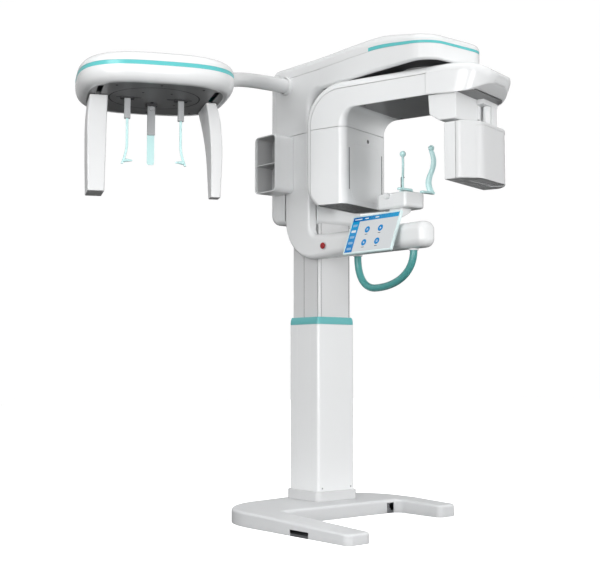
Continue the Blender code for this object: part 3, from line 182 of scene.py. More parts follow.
def reshape(piece, cuts, change):
    """Cuts the piece's faces across at each Y, so that they can bend, and changes its points."""
    work = bmesh.new()
    work.from_mesh(piece.data)
    for cut in cuts:
        everything = list(work.verts) + list(work.edges) + list(work.faces)
        bmesh.ops.bisect_plane(work, geom=everything, dist=1e-7, plane_co=(0, cut, 0), plane_no=(0, 1, 0))
    work.to_mesh(piece.data)
    work.free()
    spots = np.zeros(len(piece.data.vertices) * 3)
    piece.data.vertices.foreach_get("co", spots)
    spots = spots.reshape(-1, 3)
    change(spots)
    piece.data.vertices.foreach_set("co", spots.ravel())
    return piece


def settle(piece, look, body, hides=(), edge=0.0, angle=38):
    """Shades the piece, eases its sharp edges, paints it, and ties it to its body."""
    piece.data.shade_smooth()
    piece.data.set_sharp_from_angle(angle=radians(angle))
    if edge:
        ease = piece.modifiers.new("ease", "BEVEL")
        ease.width = edge
        ease.segments = 2
        ease.limit_method = "ANGLE"
        ease.angle_limit = radians(angle)
        bake(piece)
        piece.data.shade_smooth()
        piece.data.set_sharp_from_angle(angle=radians(60))
    even = piece.modifiers.new("even", "WEIGHTED_NORMAL")
    even.keep_sharp = True
    bake(piece)
    piece.data.materials.clear()
    piece.data.materials.append(look)
    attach(piece, body)
    if hides:
        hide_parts(*hides)


class Wire:
    """One output in a material. Arithmetic on it adds Math nodes."""

    def __init__(self, look, socket):
        self.look, self.socket = look, socket

    def __add__(self, other):
        return self.look.node("ShaderNodeMath", {"operation": "ADD"}, {0: self, 1: other})

    def __mul__(self, other):
        return self.look.node("ShaderNodeMath", {"operation": "MULTIPLY"}, {0: self, 1: other})


class Look:
    """A material, and the methods that add nodes to it."""

    def __init__(self, name, **fixed):
        self.material = bpy.data.materials.new(name)
        self.material.use_nodes = True
        self.tree = self.material.node_tree
        self.shader = self.tree.nodes["Principled BSDF"]
        for socket, value in fixed.items():
            self.feed(self.shader, socket.replace("_", " "), value)

    def feed(self, node, socket, value):
        if isinstance(value, Wire):
            self.tree.links.new(value.socket, node.inputs[socket])
        else:
            node.inputs[socket].default_value = value

    def finish(self, colour, roughness, normal):
        """The three inputs that vary over a surface."""
        for socket, value in (("Base Color", colour), ("Roughness", roughness), ("Normal", normal)):
            self.feed(self.shader, socket, value)
        return self.material

    def node(self, kind, settings, inputs, output=0):
        made = self.tree.nodes.new(kind)
        for name, value in settings.items():
            setattr(made, name, value)
        for socket, value in inputs.items():
            self.feed(made, socket, value)
        return Wire(self, made.outputs[output])

    def place(self):
        return self.node("ShaderNodeTexCoord", {}, {}, "Object")

    def noise(self, scale, detail=2.0, stretch=(1, 1, 1)):
        spot = self.node("ShaderNodeMapping", {}, {"Vector": self.place(), "Scale": stretch})
        return self.node("ShaderNodeTexNoise", {}, {"Vector": spot, "Scale": scale, "Detail": detail})

    def span(self, value, **limits):
        """Maps a value between From Min and From Max to 0..1, or to To Min and To Max."""
        inputs = {name.replace("_", " "): limit for name, limit in limits.items()}
        return self.node("ShaderNodeMapRange", {}, {"Value": value, **inputs})

    def blend(self, share, first, second):
        return self.node("ShaderNodeMix", {"data_type": "RGBA"}, {0: share, 6: first, 7: second}, 2)

    def tones(self, share, colour, low, high):
        """Blend between two strengths of one colour."""
        return self.blend(share, *[(*[min(1.0, part * strength) for part in colour], 1.0)
                                   for strength in (low, high)])

    def bump(self, height, strength, distance=0.001):
        return self.node("ShaderNodeBump", {}, {"Strength": strength, "Distance": distance, "Height": height})


def moulded(name, colour, roughness, coat=0.0, grain=0.05, spread=0.012, scale=900.0):
    """Moulded plastic: a slow drift of tone, a fine skin texture and a little change of gloss."""
    look = Look(name, Coat_Weight=coat, Coat_Roughness=0.08)
    return look.finish(look.tones(look.noise(2.2, 3.0), colour, 1 - spread, 1 + spread),
                       look.noise(11.0, 4.0) * 0.03 + (roughness - 0.015),
                       look.bump(look.noise(scale, 1.0), grain, 0.0003))


def worn_grey(name, colour, low, high):
    """Textured grey moulding with random scuffs, darker towards the floor."""
    look = Look(name, Coat_Weight=0.0)
    height = look.node("ShaderNodeSeparateXYZ", {}, {0: look.place()}, 2)
    # The tone gets darker over the lowest 2 cm, towards the floor.
    low_darkening = look.span(height, From_Min=low, From_Max=high, To_Min=1.0, To_Max=0.0)
    scuff = look.span(look.noise(26.0, 6.0, (1, 1, 4)), From_Min=0.58, From_Max=0.72)
    share = low_darkening * 0.5 + scuff * 0.12
    return look.finish(look.tones(share, colour, 1.0, 0.84), share * 0.25 + 0.40,
                       look.bump(look.noise(700.0, 2.0), 0.12, 0.0004))


cover_grey = worn_grey("cover_grey", (0.70, 0.71, 0.72), 0.0, 0.020)
cover_low, cover_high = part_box("base_cover")
base_top, base_fillet, base_wall = cover_high.z, 0.014, 0.0035
leg_bend, leg_tip, leg_drop = -0.275, cover_low.y, 0.30
base_left, base_right = cover_low.x, cover_high.x
short_tip, bay_back = -0.547, -0.262
base_corners = [
    (base_right, short_tip, 0.030), (base_right, 0.115, 0.310), (0.0, 0.172, 0.900),
    (base_left, 0.085, 0.330), (base_left, leg_tip, 0.035), (base_left + 0.137, leg_tip, 0.035),
    (base_left + 0.159, bay_back, 0.030), (base_right - 0.127, bay_back, 0.045),
    (base_right - 0.120, short_tip, 0.030),
]


def lower_legs(spots):
    """Heights fall with the distance along the legs."""
    along = np.clip((leg_bend - spots[:, 1]) / (leg_bend - leg_tip), 0, 1)
    spots[:, 2] *= 1 - leg_drop * along


levels = [(rounded(base_corners, base_fillet - (base_fillet - base_wall) * (1 - inset / base_fillet)),
           base_top - base_wall - drop * (1 - base_wall / base_fillet))
          for inset, drop in reversed(quarter(base_fillet))]
levels += drawn(base_corners, ((base_wall, 0.001), (0.0, 0.001)))
levels += closing(base_corners, base_top, base_fillet)
base = reshape(skin("base_cover_shell", levels), np.linspace(leg_bend, leg_tip + 0.05, 5), lower_legs)
column_x, column_y, fit = 0.120, 0.114, 0.0007
carve(base, block(about(0.0, column_x + fit), about(0.0, column_y + fit), (base_top / 2, base_top * 2)),
      block(about(base_left, 0.02), (-0.653, -0.526), (-0.01, 0.028)),
      block((0.206, 0.250), (bay_back - 0.02, bay_back + 0.010), (-0.01, 0.052)))
settle(base, cover_grey, "base", ["base_cover"], edge=0.0012)


# The steel plate under the cover, and the levelling bolt that stands in its recess.
# Plate steel with a dull coat, and a zinc-plated hexagon bolt on a round foot.

def worked_metal(name, colour, roughness, grain, scale, stretch):
    """Metal with a worked surface: noise drawn out along one axis."""
    look = Look(name, Metallic=1.0)
    lines = look.noise(scale, 3.0, stretch)
    return look.finish(look.tones(lines, colour, 0.90, 1.08), lines * 0.16 + (roughness - 0.08),
                       look.bump(lines, grain, 0.0004))


plate_steel = worked_metal("plate_steel", (0.40, 0.41, 0.43), 0.42, 0.10, 120.0, (1, 1, 6))
bright_steel = worked_metal("bright_steel", (0.62, 0.63, 0.65), 0.26, 0.05, 240.0, (1, 1, 8))
plain_alloy = worked_metal("plain_alloy", (0.72, 0.73, 0.74), 0.40, 0.06, 160.0, (6, 6, 1))


def paint_nodes(look, *names):
    """CAD nodes that keep their own mesh and take a finish."""
    for name in names:
        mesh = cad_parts[name].data
        mesh.materials.clear()
        mesh.materials.append(look)


paint_nodes(plate_steel, "base_plate")
paint_nodes(plain_alloy, "lift_actuator")
paint_nodes(bright_steel, "actuator_rod")


def on_circle(centre, radius, turn):
    return centre[0] + radius * np.cos(turn), centre[1] + radius * np.sin(turn)


def disc(radius, sides, centre=(0.0, 0.0)):
    """Regular polygon or circle as an (n, 2) array."""
    return np.stack(on_circle(centre, radius, np.linspace(0, 2 * np.pi, sides, endpoint=False)), 1)


def lathe(name, profile, centre=(0.0, 0.0), axis="z", sides=40, place=None, closed=False):
    """Profile of (radius, height) carried round an axis."""
    levels = [(disc(radius, sides, centre), height) for radius, height in profile]
    return skin(name, levels, axis, place, closed)


def drill(radius, heights, centre=(0.0, 0.0), axis="z", sides=40, place=None):
    """Round tool between two heights."""
    return lathe("tool", [(radius, height) for height in heights], centre, axis, sides, place)


bolt_low, bolt_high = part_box("levelling_bolt")
bolt_at = ((bolt_low.x + bolt_high.x) / 2, (bolt_low.y + bolt_high.y) / 2)
thread = [(0.0094 - 0.0008 * (step % 2), 0.0262 + 0.0007 * step) for step in range(24)]
profile = [(0.0125, bolt_low.z), (0.0138, bolt_low.z + 0.0015), (0.0138, 0.0235), (0.0105, 0.0255), *thread,
           (0.0094, 0.0435), (0.0094, bolt_high.z - 0.0105)]
head = [(0.0128, bolt_high.z - 0.011), (0.0136, bolt_high.z - 0.010), (0.0136, bolt_high.z - 0.002),
        (0.0122, bolt_high.z)]
bolt = carve(lathe("levelling_bolt_turned", profile, bolt_at), lathe("tool", head, bolt_at, sides=6),
             operation="UNION")
settle(bolt, bright_steel, "base", ["levelling_bolt"])


# The fixed column: an aluminium extrusion with glossy white paint, on a grey foot ring,
# and the teal collar that wipes the lifting column as it slides through.

gloss_white = moulded("gloss_white", (0.82, 0.83, 0.835), 0.26, coat=0.35, grain=0.025)
collar_teal = moulded("collar_teal", (0.13, 0.47, 0.48), 0.30, coat=0.25)
foot_grey = moulded("foot_grey", (0.62, 0.625, 0.63), 0.32, coat=0.2, grain=0.03)


def white(piece, body, *hides, edge=0.0, angle=38):
    """A glossy white moulding in place of the CAD nodes that it hides."""
    settle(piece, gloss_white, body, hides, edge, angle)


foot_low, foot_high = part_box("column_foot")
wall_low, wall_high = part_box("lower_column")
column = box_corners(about(0.0, column_x), about(0.0, column_y), 0.015)
levels = drawn(column, ((0.004, wall_low.z), (0.0, wall_low.z)))
levels += closing(column, wall_high.z, 0.0012, count=2) + drawn(column, ((0.004, wall_high.z),))
column_sleeve = skin("column_sleeve", levels, closed=True)
score_half, score_deep = 0.0006, 0.0007
tall = (wall_low.z - 0.01, wall_high.z + 0.01)
for side in (-1, 1):
    x, y = side * (column_x - 0.013), side * column_y * 0.45
    for way in (side, -side):
        carve(column_sleeve, block(about(x, score_half), about(way * column_y, score_deep), tall),
              block(about(way * column_x, score_deep), about(y, score_half), tall))
settle(column_sleeve, gloss_white, "base", ["lower_column"])
foot_bore, foot_out = 0.0003, 0.0130
levels = drawn(column, ((-foot_bore, foot_low.z), (-foot_out, foot_low.z)))
levels += closing(column, foot_high.z, 0.004, -foot_out) + drawn(column, ((-foot_bore, foot_high.z),))
foot_ring = skin("column_foot_ring", levels, closed=True)
settle(foot_ring, foot_grey, "base", ["column_foot"], edge=0.0008)
collar_low, collar_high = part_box("column_collar")
inner_low, inner_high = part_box("inner_column")
inner_half = inner_high.x
lifting = box_corners(about(0.0, inner_half), about(0.0, inner_half), 0.012)
collar_step = collar_low.z + 0.006
rise = collar_high.z - collar_step
levels = drawn(lifting, ((-0.0007, collar_low.z),))
levels += drawn(column, ((-0.0005, collar_low.z), (-0.0005, collar_step)))
levels += [(rounded(column, 0.0100 - 0.0105 * np.cos(turn)), collar_step + rise * np.sin(turn))
           for turn in np.linspace(0.15, np.pi / 2, 8)]
levels += drawn(lifting, ((-0.0007, collar_high.z),))
collar = skin("column_collar_ring", levels, closed=True)
settle(collar, collar_teal, "base", ["column_collar"], edge=0.0005)


# Pan-head screws, in plated steel, wherever a cover is fixed from outside.
# Each is a shallow dome with a cross socket, set into the face that it holds.

def screw(name, spot, facing, radius, body, look, place=None):
    """Domed head on a face; facing is the face's outward axis and its sign, such as ('x', -1)."""
    axis, sign = facing
    first = "zxy".index(axis)
    u, v, h = spot[first:] + spot[:first]
    rise = radius * 0.30
    profile = [(radius * 0.96, h - sign * 0.0004)]
    profile += [(radius * np.cos(turn), h + sign * rise * np.sin(turn))
                for turn in np.linspace(0.15, 1.35, 5)]
    head = lathe(name, profile, (u, v), axis, 24, place)
    deep = sorted((h + sign * rise * 0.35, h + sign * rise * 3))
    for wide, high in ((0.62, 0.13), (0.13, 0.62)):
        carve(head, prism(box_outline(about(u, radius * wide), about(v, radius * high)), deep, axis, place))
    settle(head, look, body)


for side in (-1, 1):
    screw(f"column_screw_{side + 1}", (side * 0.094, -column_y, foot_high.z + 0.014), ("y", -1), 0.0045,
          "base", bright_steel)


# The lifting column: a square aluminium extrusion with a T-groove down its side faces,
# painted like the fixed one, that carries the whole machine up and down.

satin_white = moulded("satin_white", (0.68, 0.685, 0.69), 0.36, coat=0.15, grain=0.025)
wiper_black = moulded("wiper_black", (0.035, 0.035, 0.038), 0.5, grain=0.05)


def dark(piece, body):
    """A flat black piece: a real insert, and in some slots painted shade."""
    settle(piece, wiper_black, body)


groove, groove_deep = (0.0125, 0.0165), 0.0025
profile = []
for side, half_of in ((1, lifting[:2]), (-1, lifting[2:])):
    first, last = groove[::side]
    profile += half_of
    profile += [(side * (inner_half - deep), y, 0.0006)
                for deep, y in ((0.0, first), (groove_deep, first), (groove_deep, last), (0.0, last))]
lifting_tube = prism(rounded(profile), (inner_low.z, inner_high.z), name="lifting_column")
tall = (inner_low.z - 0.01, inner_high.z + 0.01)
carve(lifting_tube, prism(rounded(lifting, 0.0045), tall))
corner_line, line_half, line_deep = inner_half - 0.0135, 0.0014, 0.0018
for side in (-1, 1):
    carve(lifting_tube, block(about(side * corner_line, line_half),
                              (-inner_half - 0.01, -inner_half + line_deep), tall),
          block(sorted((side * (inner_half - line_deep), side * (inner_half + 0.01))),
                about(-corner_line, line_half), tall))
settle(lifting_tube, satin_white, "lift", ["inner_column"], edge=0.0003)
tall = (inner_low.z + 0.001, inner_high.z - 0.001)
for side in (-1, 1):
    for step, (x, y) in enumerate((
        (about(side * corner_line, line_half - 0.0002),
         (-inner_half + 0.0008, -inner_half + line_deep - 0.0002)),
        (sorted((side * (inner_half - line_deep + 0.0002), side * (inner_half - 0.0008))),
         about(-corner_line, line_half - 0.0002)),
        (sorted((side * (inner_half - groove_deep + 0.0002), side * (inner_half - 0.0012))),
         (groove[0] + 0.0004, groove[1] - 0.0004)),
    )):
        dark(block(x, y, tall, name=f"column_wiper_{side + 1}{step}"), "lift")


# The carriage: four vacuum-formed white covers over the welded frame, split by fine seams.
# They share one rounded body, cut where the real ones meet.

rear_low, rear_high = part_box("carriage_rear_cover")
body_half, body_front, body_rear, body_low = rear_high.x, -0.115, rear_high.y, 1.442
seam_low, seam_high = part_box("carriage_lower_cover")[1].z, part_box("carriage_middle_cover")[1].z
lid_seam, rear_seam = rear_high.z, rear_low.y
arm_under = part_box("overhead_cover")[0].z
arm_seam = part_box("carriage_upper_cover")[0].y
seam, shell_wall = 0.0022, 0.0035
body_profile = [
    (body_front, body_low, 0.030), (body_rear, body_low + 0.020, 0.055), (body_rear, 2.30, 0.0),
    (-0.30, 2.30, 0.0), (-0.30, arm_under, 0.0), (body_front, arm_under, 0.080),
]


def body_block(name):
    """Profile of the side view carried across the width, with both side edges rounded. The inside
    runs past it at the top and the front, where the body is open."""
    forms = []
    for form, trim, past in ((name, 0.0, 0.0), ("tool", shell_wall, 0.08)):
        shape = [(y - past * (y < -0.2), z + past * (z > 2.2), radius) for y, z, radius in body_profile]
        half, bend = body_half - trim, 0.030 - trim
        levels = rising(shape, -half, bend, trim, 5) + closing(shape, half, bend, trim, 5)
        forms.append(skin(form, levels, "x"))
    passage = about(0.0, inner_half + fit)
    return carve(*forms, block(passage, passage, (body_low - 0.05, body_low + 0.08)))


limb_inner, limb_rear = -0.128, 0.074
front_part = (arm_seam, rear_seam - seam / 2)
for name, y_range, z_range in (
    ("carriage_rear_cover", (rear_seam + seam / 2, 0.5), (1.0, lid_seam - seam / 2)),
    ("carriage_upper_cover", front_part, (seam_high, lid_seam - seam / 2)),
    ("carriage_middle_cover", front_part, (seam_low, seam_high - seam)),
    ("carriage_lower_cover", front_part, (1.0, seam_low - seam)),
):
    cover = carve(body_block(name + "_skin"), block((-0.5, 0.5), y_range, z_range), operation="INTERSECT")
    if name == "carriage_lower_cover":
        carve(cover, block((-0.5, limb_inner + 0.0003), (-0.5, limb_rear + seam), (1.0, seam_low + 0.01)))
    white(cover, "lift", name, edge=0.0009)
paint_nodes(plain_alloy, "carriage_frame")


# The overhead arm: a tray below, a domed lid that runs back over the carriage, and a teal
# strip let into the lid's lower edge round the front. All three fall a little towards the front.

arm_half, arm_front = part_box("overhead_cover")[1].x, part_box("overhead_cover")[0].y
arm_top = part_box("overhead_lid")[1].z
arm_waist, front_radius, droop_share = -0.500, 0.110, 0.30
strip_teal = moulded("strip_teal", (0.12, 0.56, 0.57), 0.25, coat=0.4)
# Black for the painted shade under the overhead arm.
painted_shade_black = moulded("painted_shade_black", (0.030, 0.030, 0.033), 0.42, grain=0.10)


def arm_outline(rear, rear_radius=0.0):
    return [
        (-arm_half, arm_front, front_radius), (arm_half, arm_front, front_radius),
        (arm_half, arm_waist, 1.500),
        (body_half, arm_seam, 1.500), (body_half, rear, rear_radius), (-body_half, rear, rear_radius),
        (-body_half, arm_seam, 1.500), (-arm_half, arm_waist, 1.500),
    ]


def lose_height(spots):
    """Height over the underside is lost along a smooth step towards the front."""
    along = np.clip((-spots[:, 1] - 0.60) / 0.38, 0, 1)
    ease = along * along * (3 - 2 * along)
    high = spots[:, 2] - arm_under
    spots[:, 2] = arm_under + np.where(high > 0, high * (1 - droop_share * ease), high)


def droop(piece):
    return reshape(piece, np.linspace(-0.60, -0.95, 15), lose_height)


tray_edge = 0.017
corners = arm_outline(0.0)
rim = lid_seam - seam / 2
levels = rising(corners, arm_under, tray_edge) + drawn(corners, ((0.0, rim), (shell_wall, rim)))
levels += rising(corners, arm_under + shell_wall, tray_edge - shell_wall, shell_wall)[::-1]
tray = skin("overhead_tray", levels)
carve(tray, block((-0.4, 0.4), (arm_seam - seam / 2, 0.4), (2.0, 2.4)))
hub_x, hub_y, reach, travel = 0.0, -0.758, 0.055, 0.030
hub_slot = box_outline(about(hub_x, reach), (hub_y - reach - travel, hub_y + reach + travel), reach * 0.98)
carve(tray, prism(hub_slot, (2.05, 2.13)))
white(droop(tray), "lift", "overhead_cover", edge=0.0009)
# A black sheet under the tray is painted shade for the recess under the arm.
under_painted_shade = prism(rounded(corners, tray_edge - 0.001), (arm_under - 0.0012, arm_under + 0.0004),
                    name="overhead_under_painted_shade")
carve(under_painted_shade, block((-0.4, 0.4), (arm_seam - 0.012, 0.4), (2.0, 2.4)), prism(hub_slot, (2.05, 2.13)))
settle(under_painted_shade, painted_shade_black, "lift")
lid_edge = 0.042
corners = arm_outline(body_rear, 0.050)
levels = closing(corners, arm_top - shell_wall, lid_edge - shell_wall, shell_wall, 9)[::-1]
levels += drawn(corners, ((shell_wall, lid_seam), (0.0, lid_seam)))
levels += closing(corners, arm_top, lid_edge, count=10)
lid = skin("overhead_lid_skin", levels)
strip_back, strip_high, strip_deep = -0.580, 0.017, 0.0018


def strip_outline(depth, proud, back):
    """The strip in plan: round the front at its outer face, and back along its inner one."""
    runs = [(arm_half + proud, arm_front - proud, front_radius + proud, 1),
            (arm_half - depth, arm_front + depth, front_radius - depth, -1)]
    corners = []
    for half, front, corner, way in runs:
        corners += [(-half * way, back, 0.0), (-half * way, front, corner), (half * way, front, corner),
                    (half * way, back, 0.0)]
    return rounded(corners)


carve(lid, prism(strip_outline(strip_deep, 0.010, strip_back + 0.0004),
                 (lid_seam - 0.02, lid_seam + strip_high + 0.0004)))
white(droop(lid), "lift", "overhead_lid", edge=0.0006)
strip = prism(strip_outline(strip_deep - 0.0003, 0.0, strip_back), (lid_seam, lid_seam + strip_high),
              name="overhead_strip")
settle(droop(strip), strip_teal, "lift", ["overhead_stripe"], edge=0.0004)


# The storage box: an open white moulding with one shelf, fixed to the carriage's side, for bite
# blocks and covers. Grey sheets inside it are painted shade on its white inner walls.

shelf_grey = moulded("shelf_grey", (0.60, 0.61, 0.62), 0.42, grain=0.10, scale=500.0)
# Grey for the painted shade inside the white storage box.
painted_shade_lining = moulded("painted_shade_lining", (0.48, 0.485, 0.49), 0.50, grain=0.10, scale=500.0)
box_low, box_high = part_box("storage_box")
mouth, back, box_wall = box_low.x, box_high.x, 0.0065
corners = box_corners((box_low.y, box_high.y), (box_low.z, box_high.z), 0.026)
store = skin("storage_shell", drawn(corners, (
    (box_wall + 0.004, back - box_wall), (box_wall, back - box_wall - 0.004), (box_wall, mouth + 0.0015),
    (box_wall - 0.0012, mouth), (0.0012, mouth), (0.0, mouth + 0.0015), (0.0, back))), "x")
shelf_z = (1.753, 1.757)
shelf = prism(box_outline((box_low.y + 0.002, box_high.y - 0.002), shelf_z, 0.001),
              (mouth + 0.004, back - 0.002), "x")
settle(carve(store, shelf, operation="UNION"), gloss_white, "lift", ["storage_box"],
       edge=0.0006)
y_range = (box_low.y + box_wall, box_high.y - box_wall)
for step, (bottom, top, radii) in enumerate(((box_low.z + box_wall, shelf_z[0], (0.0195, 0.002)),
                                             (shelf_z[1], box_high.z - box_wall, (0.002, 0.0195)))):
    corners = box_corners(y_range, (bottom, top), *radii)
    levels = drawn(corners, ((0.0015, back - box_wall - 0.0016), (0.0015, mouth + 0.012),
                             (0.0003, mouth + 0.012), (0.0003, back - box_wall - 0.0004)))
    settle(skin(f"storage_painted_shade_lining_{step}", levels, "x"), painted_shade_lining, "lift")


# The patient arm: one long moulding that leaves the carriage downwards, turns forwards below
# the gantry and carries chin rest, grip, screen and emergency stop.

arm_near, arm_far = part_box("patient_arm")
arm_face, bar_inner, bar_low, bar_high, bar_end = arm_near.x, arm_far.x, arm_near.z, 1.385, arm_near.y


def section(inner, outer, x_range, radii, trim=0.0, step=9.0):
    """Rounded rectangle that spans from an inner to an outer rail point in the Y-Z plane."""
    inner, outer = np.array(inner, float), np.array(outer, float)
    length = np.linalg.norm(outer - inner)
    flat = rounded(box_corners(x_range, (0.0, length), *radii), trim, step)
    rail = inner + (outer - inner) * (flat[:, 1:] / length)
    return np.column_stack([flat[:, 0], rail])


def arm_section(inner, outer, share, edge, trim=0.0):
    """Section whose inner side stands at a share of the way from the limb's to the bar's."""
    x_high = limb_inner + (bar_inner - limb_inner) * share
    return section(inner, outer, (arm_face, x_high), (edge, edge), trim)


def arm_rows():
    """Sections down the limb, round two circles of different centres, and out to a domed end."""
    outer_r, inner_r = 0.215, 0.045
    outer_c = (limb_rear - outer_r, bar_low + outer_r)
    inner_c = (body_front - inner_r, bar_high + inner_r)
    rows = [arm_section((body_front, seam_low), (limb_rear, seam_low), 0.0, 0.012)]
    for turn in np.linspace(0, -np.pi / 2, 25):
        share = -turn / (np.pi / 2)
        rows.append(arm_section(on_circle(inner_c, inner_r, turn), on_circle(outer_c, outer_r, turn),
                                np.clip((share - 0.80) / 0.40, 0, 1), 0.012 + 0.012 * share))
    start, run = -0.160, 0.120
    for y in np.linspace(start - 0.010, start - run, 8):
        share = (start - y) / run
        rows.append(arm_section((y, bar_high), (y, bar_low), 0.5 + 0.5 * min(1.0, share * 1.1),
                                0.024 + 0.016 * share))
    dome = 0.038
    for turn in np.linspace(0, radians(84), 10):
        y = bar_end + dome - dome * np.sin(turn)
        rows.append(arm_section((y, bar_high), (y, bar_low), 1.0, 0.040, dome * (1 - np.cos(turn))))
    return np.array(rows)


stop_at = (-0.231, 1.322)
patient_arm = solid("patient_arm_skin", arm_rows())
carve(patient_arm, drill(0.0068, (arm_face - 0.01, arm_face + 0.020), stop_at, "x"))
white(patient_arm, "lift", "patient_arm", edge=0.0006)


# The emergency stop: a red mushroom button in a grey ring, on the outer face of the arm.
# Glossy moulded plastic; it travels a few millimetres into the arm and springs back.

def raised(pairs, base, way=1):
    """(radius or inset, height) pairs with their heights measured from a base."""
    return [(first, base + way * height) for first, height in pairs]


stop_red = moulded("stop_red", (0.36, 0.012, 0.016), 0.30, coat=0.15, grain=0.02)
profile = [(0.0060, 0.014), (0.0060, -0.0046), (0.0140, -0.0048), (0.0154, -0.0062)]
profile += [(0.0160 - 0.0052 * (1 - np.cos(turn)), -0.0080 - 0.0056 * np.sin(turn))
            for turn in np.linspace(0, 1.45, 9)]
button = lathe("stop_button_cap", raised(profile, arm_face), stop_at, "x")
settle(button, stop_red, "stop", ["stop_button"])
profile = [(0.0185, 0.0002), (0.0195, -0.0008), (0.0188, -0.0020), (0.0174, -0.0022)]
seat = lathe("stop_button_seat", raised(profile, arm_face), stop_at, "x")
carve(seat, drill(0.0168, about(arm_face, 0.01), stop_at, "x"))
settle(seat, shelf_grey, "lift")


# The hand grip: one bent tube in teal, foamed on, that hangs below the arm from two sockets.

def bezier(start, pull, push, end, count):
    """Points of a cubic curve, at even steps of its parameter."""
    share = np.linspace(0, 1, count + 1)[:, None]
    rest = 1 - share
    return (np.array(start) * rest ** 3 + 3 * np.array(pull) * rest ** 2 * share
            + 3 * np.array(push) * rest * share ** 2 + np.array(end) * share ** 3)


def sweep(path, radii, side, sides=28, first=None, last=None):
    """Round sections across a path: each is square to the path, with one axis near the side vector."""
    path = np.array(path, float)
    ahead = np.empty_like(path)
    ahead[1:-1] = path[2:] - path[:-2]
    ahead[0] = path[1] - path[0] if first is None else first
    ahead[-1] = path[-1] - path[-2] if last is None else last
    ahead /= np.linalg.norm(ahead, axis=1)[:, None]
    side = np.array(side, float)
    across = side - ahead * (ahead @ side)[:, None]
    across /= np.linalg.norm(across, axis=1)[:, None]
    up = np.cross(across, ahead)
    turns = np.linspace(0, 2 * np.pi, sides, endpoint=False)[None, :, None]
    radii = np.broadcast_to(radii, len(path))[:, None, None]
    return path[:, None] + radii * (across[:, None] * np.cos(turns) + up[:, None] * np.sin(turns))


grip_teal = moulded("grip_teal", (0.085, 0.335, 0.325), 0.30, coat=0.25, grain=0.10, spread=0.02, scale=420.0)
grip_low, grip_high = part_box("hand_grip")
grip_x, grip_r = (grip_low.x + grip_high.x) / 2, (grip_high.x - grip_low.x) / 2
top, lowest_z, near_y, far_y = bar_low - 0.0003, grip_low.z + grip_r, -0.425, -0.800
lowest = (grip_x, -0.548, lowest_z)
route = np.vstack([
    bezier((grip_x, near_y, top), (grip_x, -0.421, top - 0.095), (grip_x, -0.463, lowest_z), lowest, 30),
    bezier(lowest, (grip_x, -0.690, lowest_z), (grip_x, -0.802, top - 0.110), (grip_x, far_y, top), 36)[1:],
])
grip = solid("hand_grip_tube", sweep(route, grip_r, (1, 0, 0), 32, (0, 0, -1), (0, 0, 1)))
settle(grip, grip_teal, "lift", ["hand_grip"])
for name, y in (("near", near_y), ("far", far_y)):
    profile = [(grip_r + wall, top - drop) for wall, drop in (
        (0.0002, 0.007), (0.0035, 0.007), (0.0050, 0.0055), (0.0050, 0.0), (0.0002, 0.0))]
    white(lathe("grip_socket_" + name, profile, (grip_x, y), sides=32, closed=True), "lift")


# The chin rest: a swept post, a rounded head with the temple drive in it, a knob at its left,
# a cup on a peg for the chin and a thin bite rod behind it.

head_low, head_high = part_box("chin_head")
post_low, post_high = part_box("chin_post")
foot_x, foot_shift = (arm_face + bar_inner) / 2, -0.020
levels = []
for share in np.linspace(0, 1, 20):
    ease = share * share * (3 - 2 * share)
    across = about(foot_x + (foot_shift - foot_x) * ease, 0.019 + 0.016 * ease)
    height = post_low.z + (post_high.z - post_low.z) * share
    levels.append((box_outline(across, (-0.645, -0.555), 0.012), height))
white(skin("chin_post_swept", levels), "lift", "chin_post", edge=0.0006)
head_corners = [(head_low.x, head_low.y, 0.014), (head_high.x, head_low.y, 0.034),
                (head_high.x, head_high.y, 0.030), (head_low.x, head_high.y, 0.034)]
levels = rising(head_corners, head_low.z, 0.012) + closing(head_corners, head_high.z, 0.010)
head = skin("chin_head_moulding", levels)
peg_at = (0.0, -0.620)
# The parting line runs round the head a third of the way up.
line = drawn(head_corners, ((-0.002, 1.4985), (-0.002, 1.4993), (0.0008, 1.4993), (0.0008, 1.4985)))
carve(head, drill(0.0066, (head_high.z - 0.045, head_high.z + 0.01), peg_at), skin("tool", line, closed=True))
white(head, "lift", "chin_head")
knob_low, knob_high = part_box("temple_knob")
knob_at, ribs = (-0.582, 1.535), 24
rib_turns = np.linspace(0, 2 * np.pi, ribs * 6, endpoint=False)
ripple = 0.00035 * np.cos(rib_turns * ribs)
levels = [(np.stack(on_circle(knob_at, radius + ripple * depth, rib_turns), 1), knob_low.x + out)
          for radius, depth, out in (
              (0.0118, 0.0, 0.0), (0.0138, 0.2, 0.0004), (0.0147, 1.0, 0.0016), (0.0147, 1.0, 0.0160),
              (0.0140, 0.0, 0.0172), (0.0125, 0.0, 0.0180), (0.0125, 0.0, knob_high.x - knob_low.x))]
white(skin("temple_knob_ribbed", levels, "x"), "knob", "temple_knob")

pale_plastic = moulded("pale_plastic", (0.58, 0.86, 0.855), 0.26, coat=0.2, grain=0.02)
cup_low, cup_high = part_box("chin_cup")
cup_base = head_high.z + 0.0003
cup_corners = box_corners((cup_low.x, cup_high.x), (cup_low.y, cup_high.y), 0.012)
pairs = [(0.003, 0.0), (0.0008, 0.0015), (0.0, 0.004), (0.0, 0.0115)]
pairs += [(0.003 - 0.003 * np.cos(turn), 0.0120 + 0.0030 * np.sin(turn))
          for turn in np.linspace(0.2, np.pi - 0.4, 7)]
pairs += [(0.0065 + 0.008 * np.sin(turn), 0.0130 - 0.006 * (1 - np.cos(turn)))
          for turn in np.linspace(0.2, 1.4, 6)]
cup = skin("chin_cup_dished", drawn(cup_corners, raised(pairs, cup_base)))
carve(cup, drill(0.0060, (cup_low.z, cup_base + 0.004), peg_at), operation="UNION")
settle(cup, pale_plastic, "chin", ["chin_cup"])

